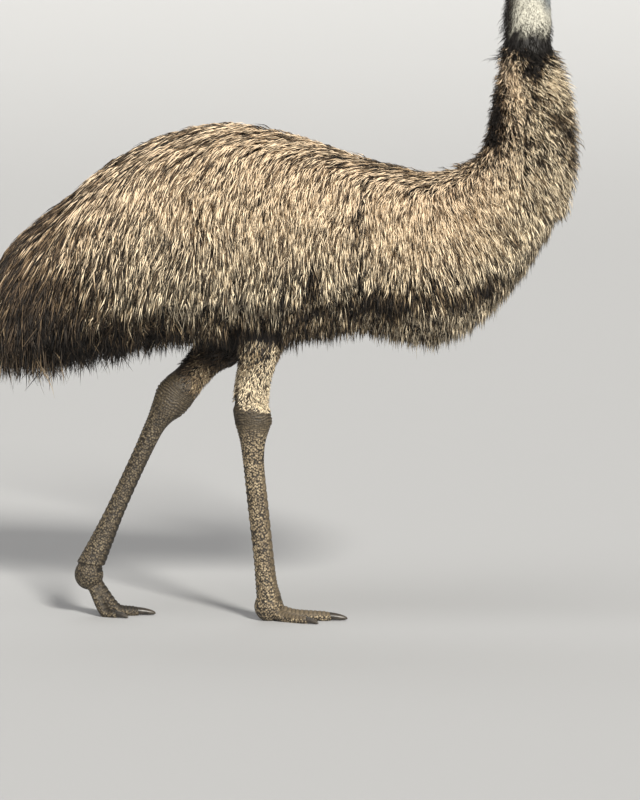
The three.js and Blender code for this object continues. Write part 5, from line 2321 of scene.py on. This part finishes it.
@dataclass
class Studio:
    """A plain pale floor, soft light, and a long lens at the photograph's viewing angle."""

    scale: float = 2.05 * MM
    middle: tuple[float, float] = (72 * MM, 451 * MM)
    distance: float = 11.0
    height: float = 1.45
    sensor: float = 36.0
    backdrop: Rows = (
        (-30, 0),
        (-12, 0),
        (0, 0),
        (12, 0),
        (20, 0),
        (24, 0.5),
        (27, 1.7),
        (29, 4),
        (30, 8),
        (30, 24),
    )
    across: int = 9
    world: tuple[float, ...] = (1.0, 0.96, 0.9, 1)
    world_power: float = 0.24

    def camera(self) -> None:
        """A camera as far off as the photograph's, with the photo's width across its view."""
        data = bpy.data.cameras.new("camera")
        camera = bpy.data.objects.new("camera", data)
        x, z = self.middle
        drop = self.height - z
        tilt = math.atan2(drop, self.distance)
        away = math.hypot(drop, self.distance)
        camera.location = (x, -self.distance, self.height)
        camera.rotation_euler = (math.pi / 2 - tilt, 0, 0)
        data.sensor_fit = "HORIZONTAL"
        data.sensor_width = self.sensor
        data.lens = self.sensor * away / (self.scale * PHOTO_WIDTH)
        data.clip_end = 200
        bpy.context.scene.collection.objects.link(camera)
        bpy.context.scene.camera = camera

    def floor(self) -> None:
        """A wide floor that curves up far behind the bird."""
        y, z = np.array(self.backdrop, float).T[:, :, None]
        x = np.linspace(-30, 30, self.across)[None]
        grid = np.stack(np.broadcast_arrays(x, y, z), -1)
        index = np.arange(len(y) * self.across).reshape(len(y), self.across)
        corners = np.stack([index[:-1, :-1], index[:-1, 1:], index[1:, 1:], index[1:, :-1]], -1)
        shape = Shape(grid.reshape(-1, 3), corners.reshape(-1), np.full(corners[..., 0].size, 4))
        mesh = shape.mesh("floor")
        mesh.materials.append(FloorFinish().material())
        floor = bpy.data.objects.new("floor", mesh)
        bpy.context.scene.collection.objects.link(floor)

    def light(
        self, name: str, place: tuple[float, ...], soft: float, power: float, colour: tuple[float, ...]
    ) -> None:
        """A far soft light, as even on the backdrop as on the bird.

        Args:
            name: its name.
            place: the side that it comes from.
            soft: the angle that it fills, in degrees.
            power: its power.
            colour: its colour.
        """
        data = bpy.data.lights.new(name, "SUN")
        data.color = colour
        data.angle = math.radians(soft)
        data.energy = power
        lamp = bpy.data.objects.new(name, data)
        lamp.location = place
        flat = math.hypot(place[0], place[1])
        turn = math.atan2(place[1], place[0]) + math.pi / 2
        lamp.rotation_euler = (math.atan2(flat, place[2]), 0, turn)
        bpy.context.scene.collection.objects.link(lamp)

    def build(self) -> None:
        """The whole studio."""
        self.camera()
        self.floor()
        self.light("key", (1.2, -3.2, 1.8), 10, 5.5, (1.0, 0.955, 0.86))
        self.light("fill", (-2.0, -2.5, 5.0), 50, 1.0, (1.0, 0.97, 0.92))
        self.light("back", (-1.0, 4.5, 3.6), 50, 0.8, (1.0, 0.98, 0.95))
        world = bpy.data.worlds.new("studio")
        world.use_nodes = True
        world.node_tree.nodes["Background"].inputs[0].default_value = self.world
        world.node_tree.nodes["Background"].inputs[1].default_value = self.world_power
        bpy.context.scene.world = world
        bpy.context.scene.view_settings.view_transform = "Standard"


COATS = (
    Coat("coat_tail", (0.05, 4.6), (-180, 180), 2400, 5, 101, rings=(0, 0.45, 0.8, 1)),
    Coat("coat_rump_right", (4.6, 9.4), (-180, 0), 3800, 5, 102),
    Coat("coat_rump_left", (4.6, 9.4), (0, 180), 2800, 5, 103),
    Coat("coat_shoulder_right", (9.4, 15.4), (-180, 0), 4900, 4, 104),
    Coat("coat_shoulder_left", (9.4, 15.4), (0, 180), 3600, 4, 105),
    Coat(
        "coat_neck_base",
        (15.4, 18.9),
        (-180, 180),
        4850,
        4,
        106,
        tips=0.2,
        strays=0.14,
        curl=0.08,
        wool=0.22,
    ),
    Coat(
        "coat_ruff",
        (18.9, 22.9),
        (-180, 180),
        6300,
        3,
        107,
        ragged=0.12,
        tips=0.24,
        strays=0.3,
        curl=0.16,
        wool=0.4,
    ),
    Bristles(
        "coat_nape",
        (22.2, 29.8),
        (-180, 180),
        4800,
        2,
        108,
        root=0.8,
        ragged=1.5,
        even=0.92,
        lengths=(0.55, 1.35),
        shade=-1.2,
    ),
)


def main() -> None:
    """Builds the studio, the skin, the plumage and the horn parts in order."""
    logging.basicConfig(level=logging.INFO, format="%(name)s %(message)s")
    Studio().build()
    Skin().build(SkinFinish().material())
    plumage = PlumageFinish().material()
    for coat in COATS:
        coat.build(plumage)
    Crown().build(plumage)
    for leg in LEGS:
        ShinFeathers(leg).build(plumage)
    bill = HornFinish("bill", (0.016, 0.015, 0.015), (0.07, 0.066, 0.062)).material()
    claw = HornFinish("claw", (0.01, 0.009, 0.008), (0.05, 0.042, 0.034), 0.38).material()
    eye = EyeFinish().material()
    for side in Side:
        Eye(side).build(eye)
    for half in BillHalf:
        Bill(half).build(bill)
    for leg in LEGS:
        for toe in TOES:
            Claw(leg, toe).build(claw)


if __name__ == "__main__":
    main()
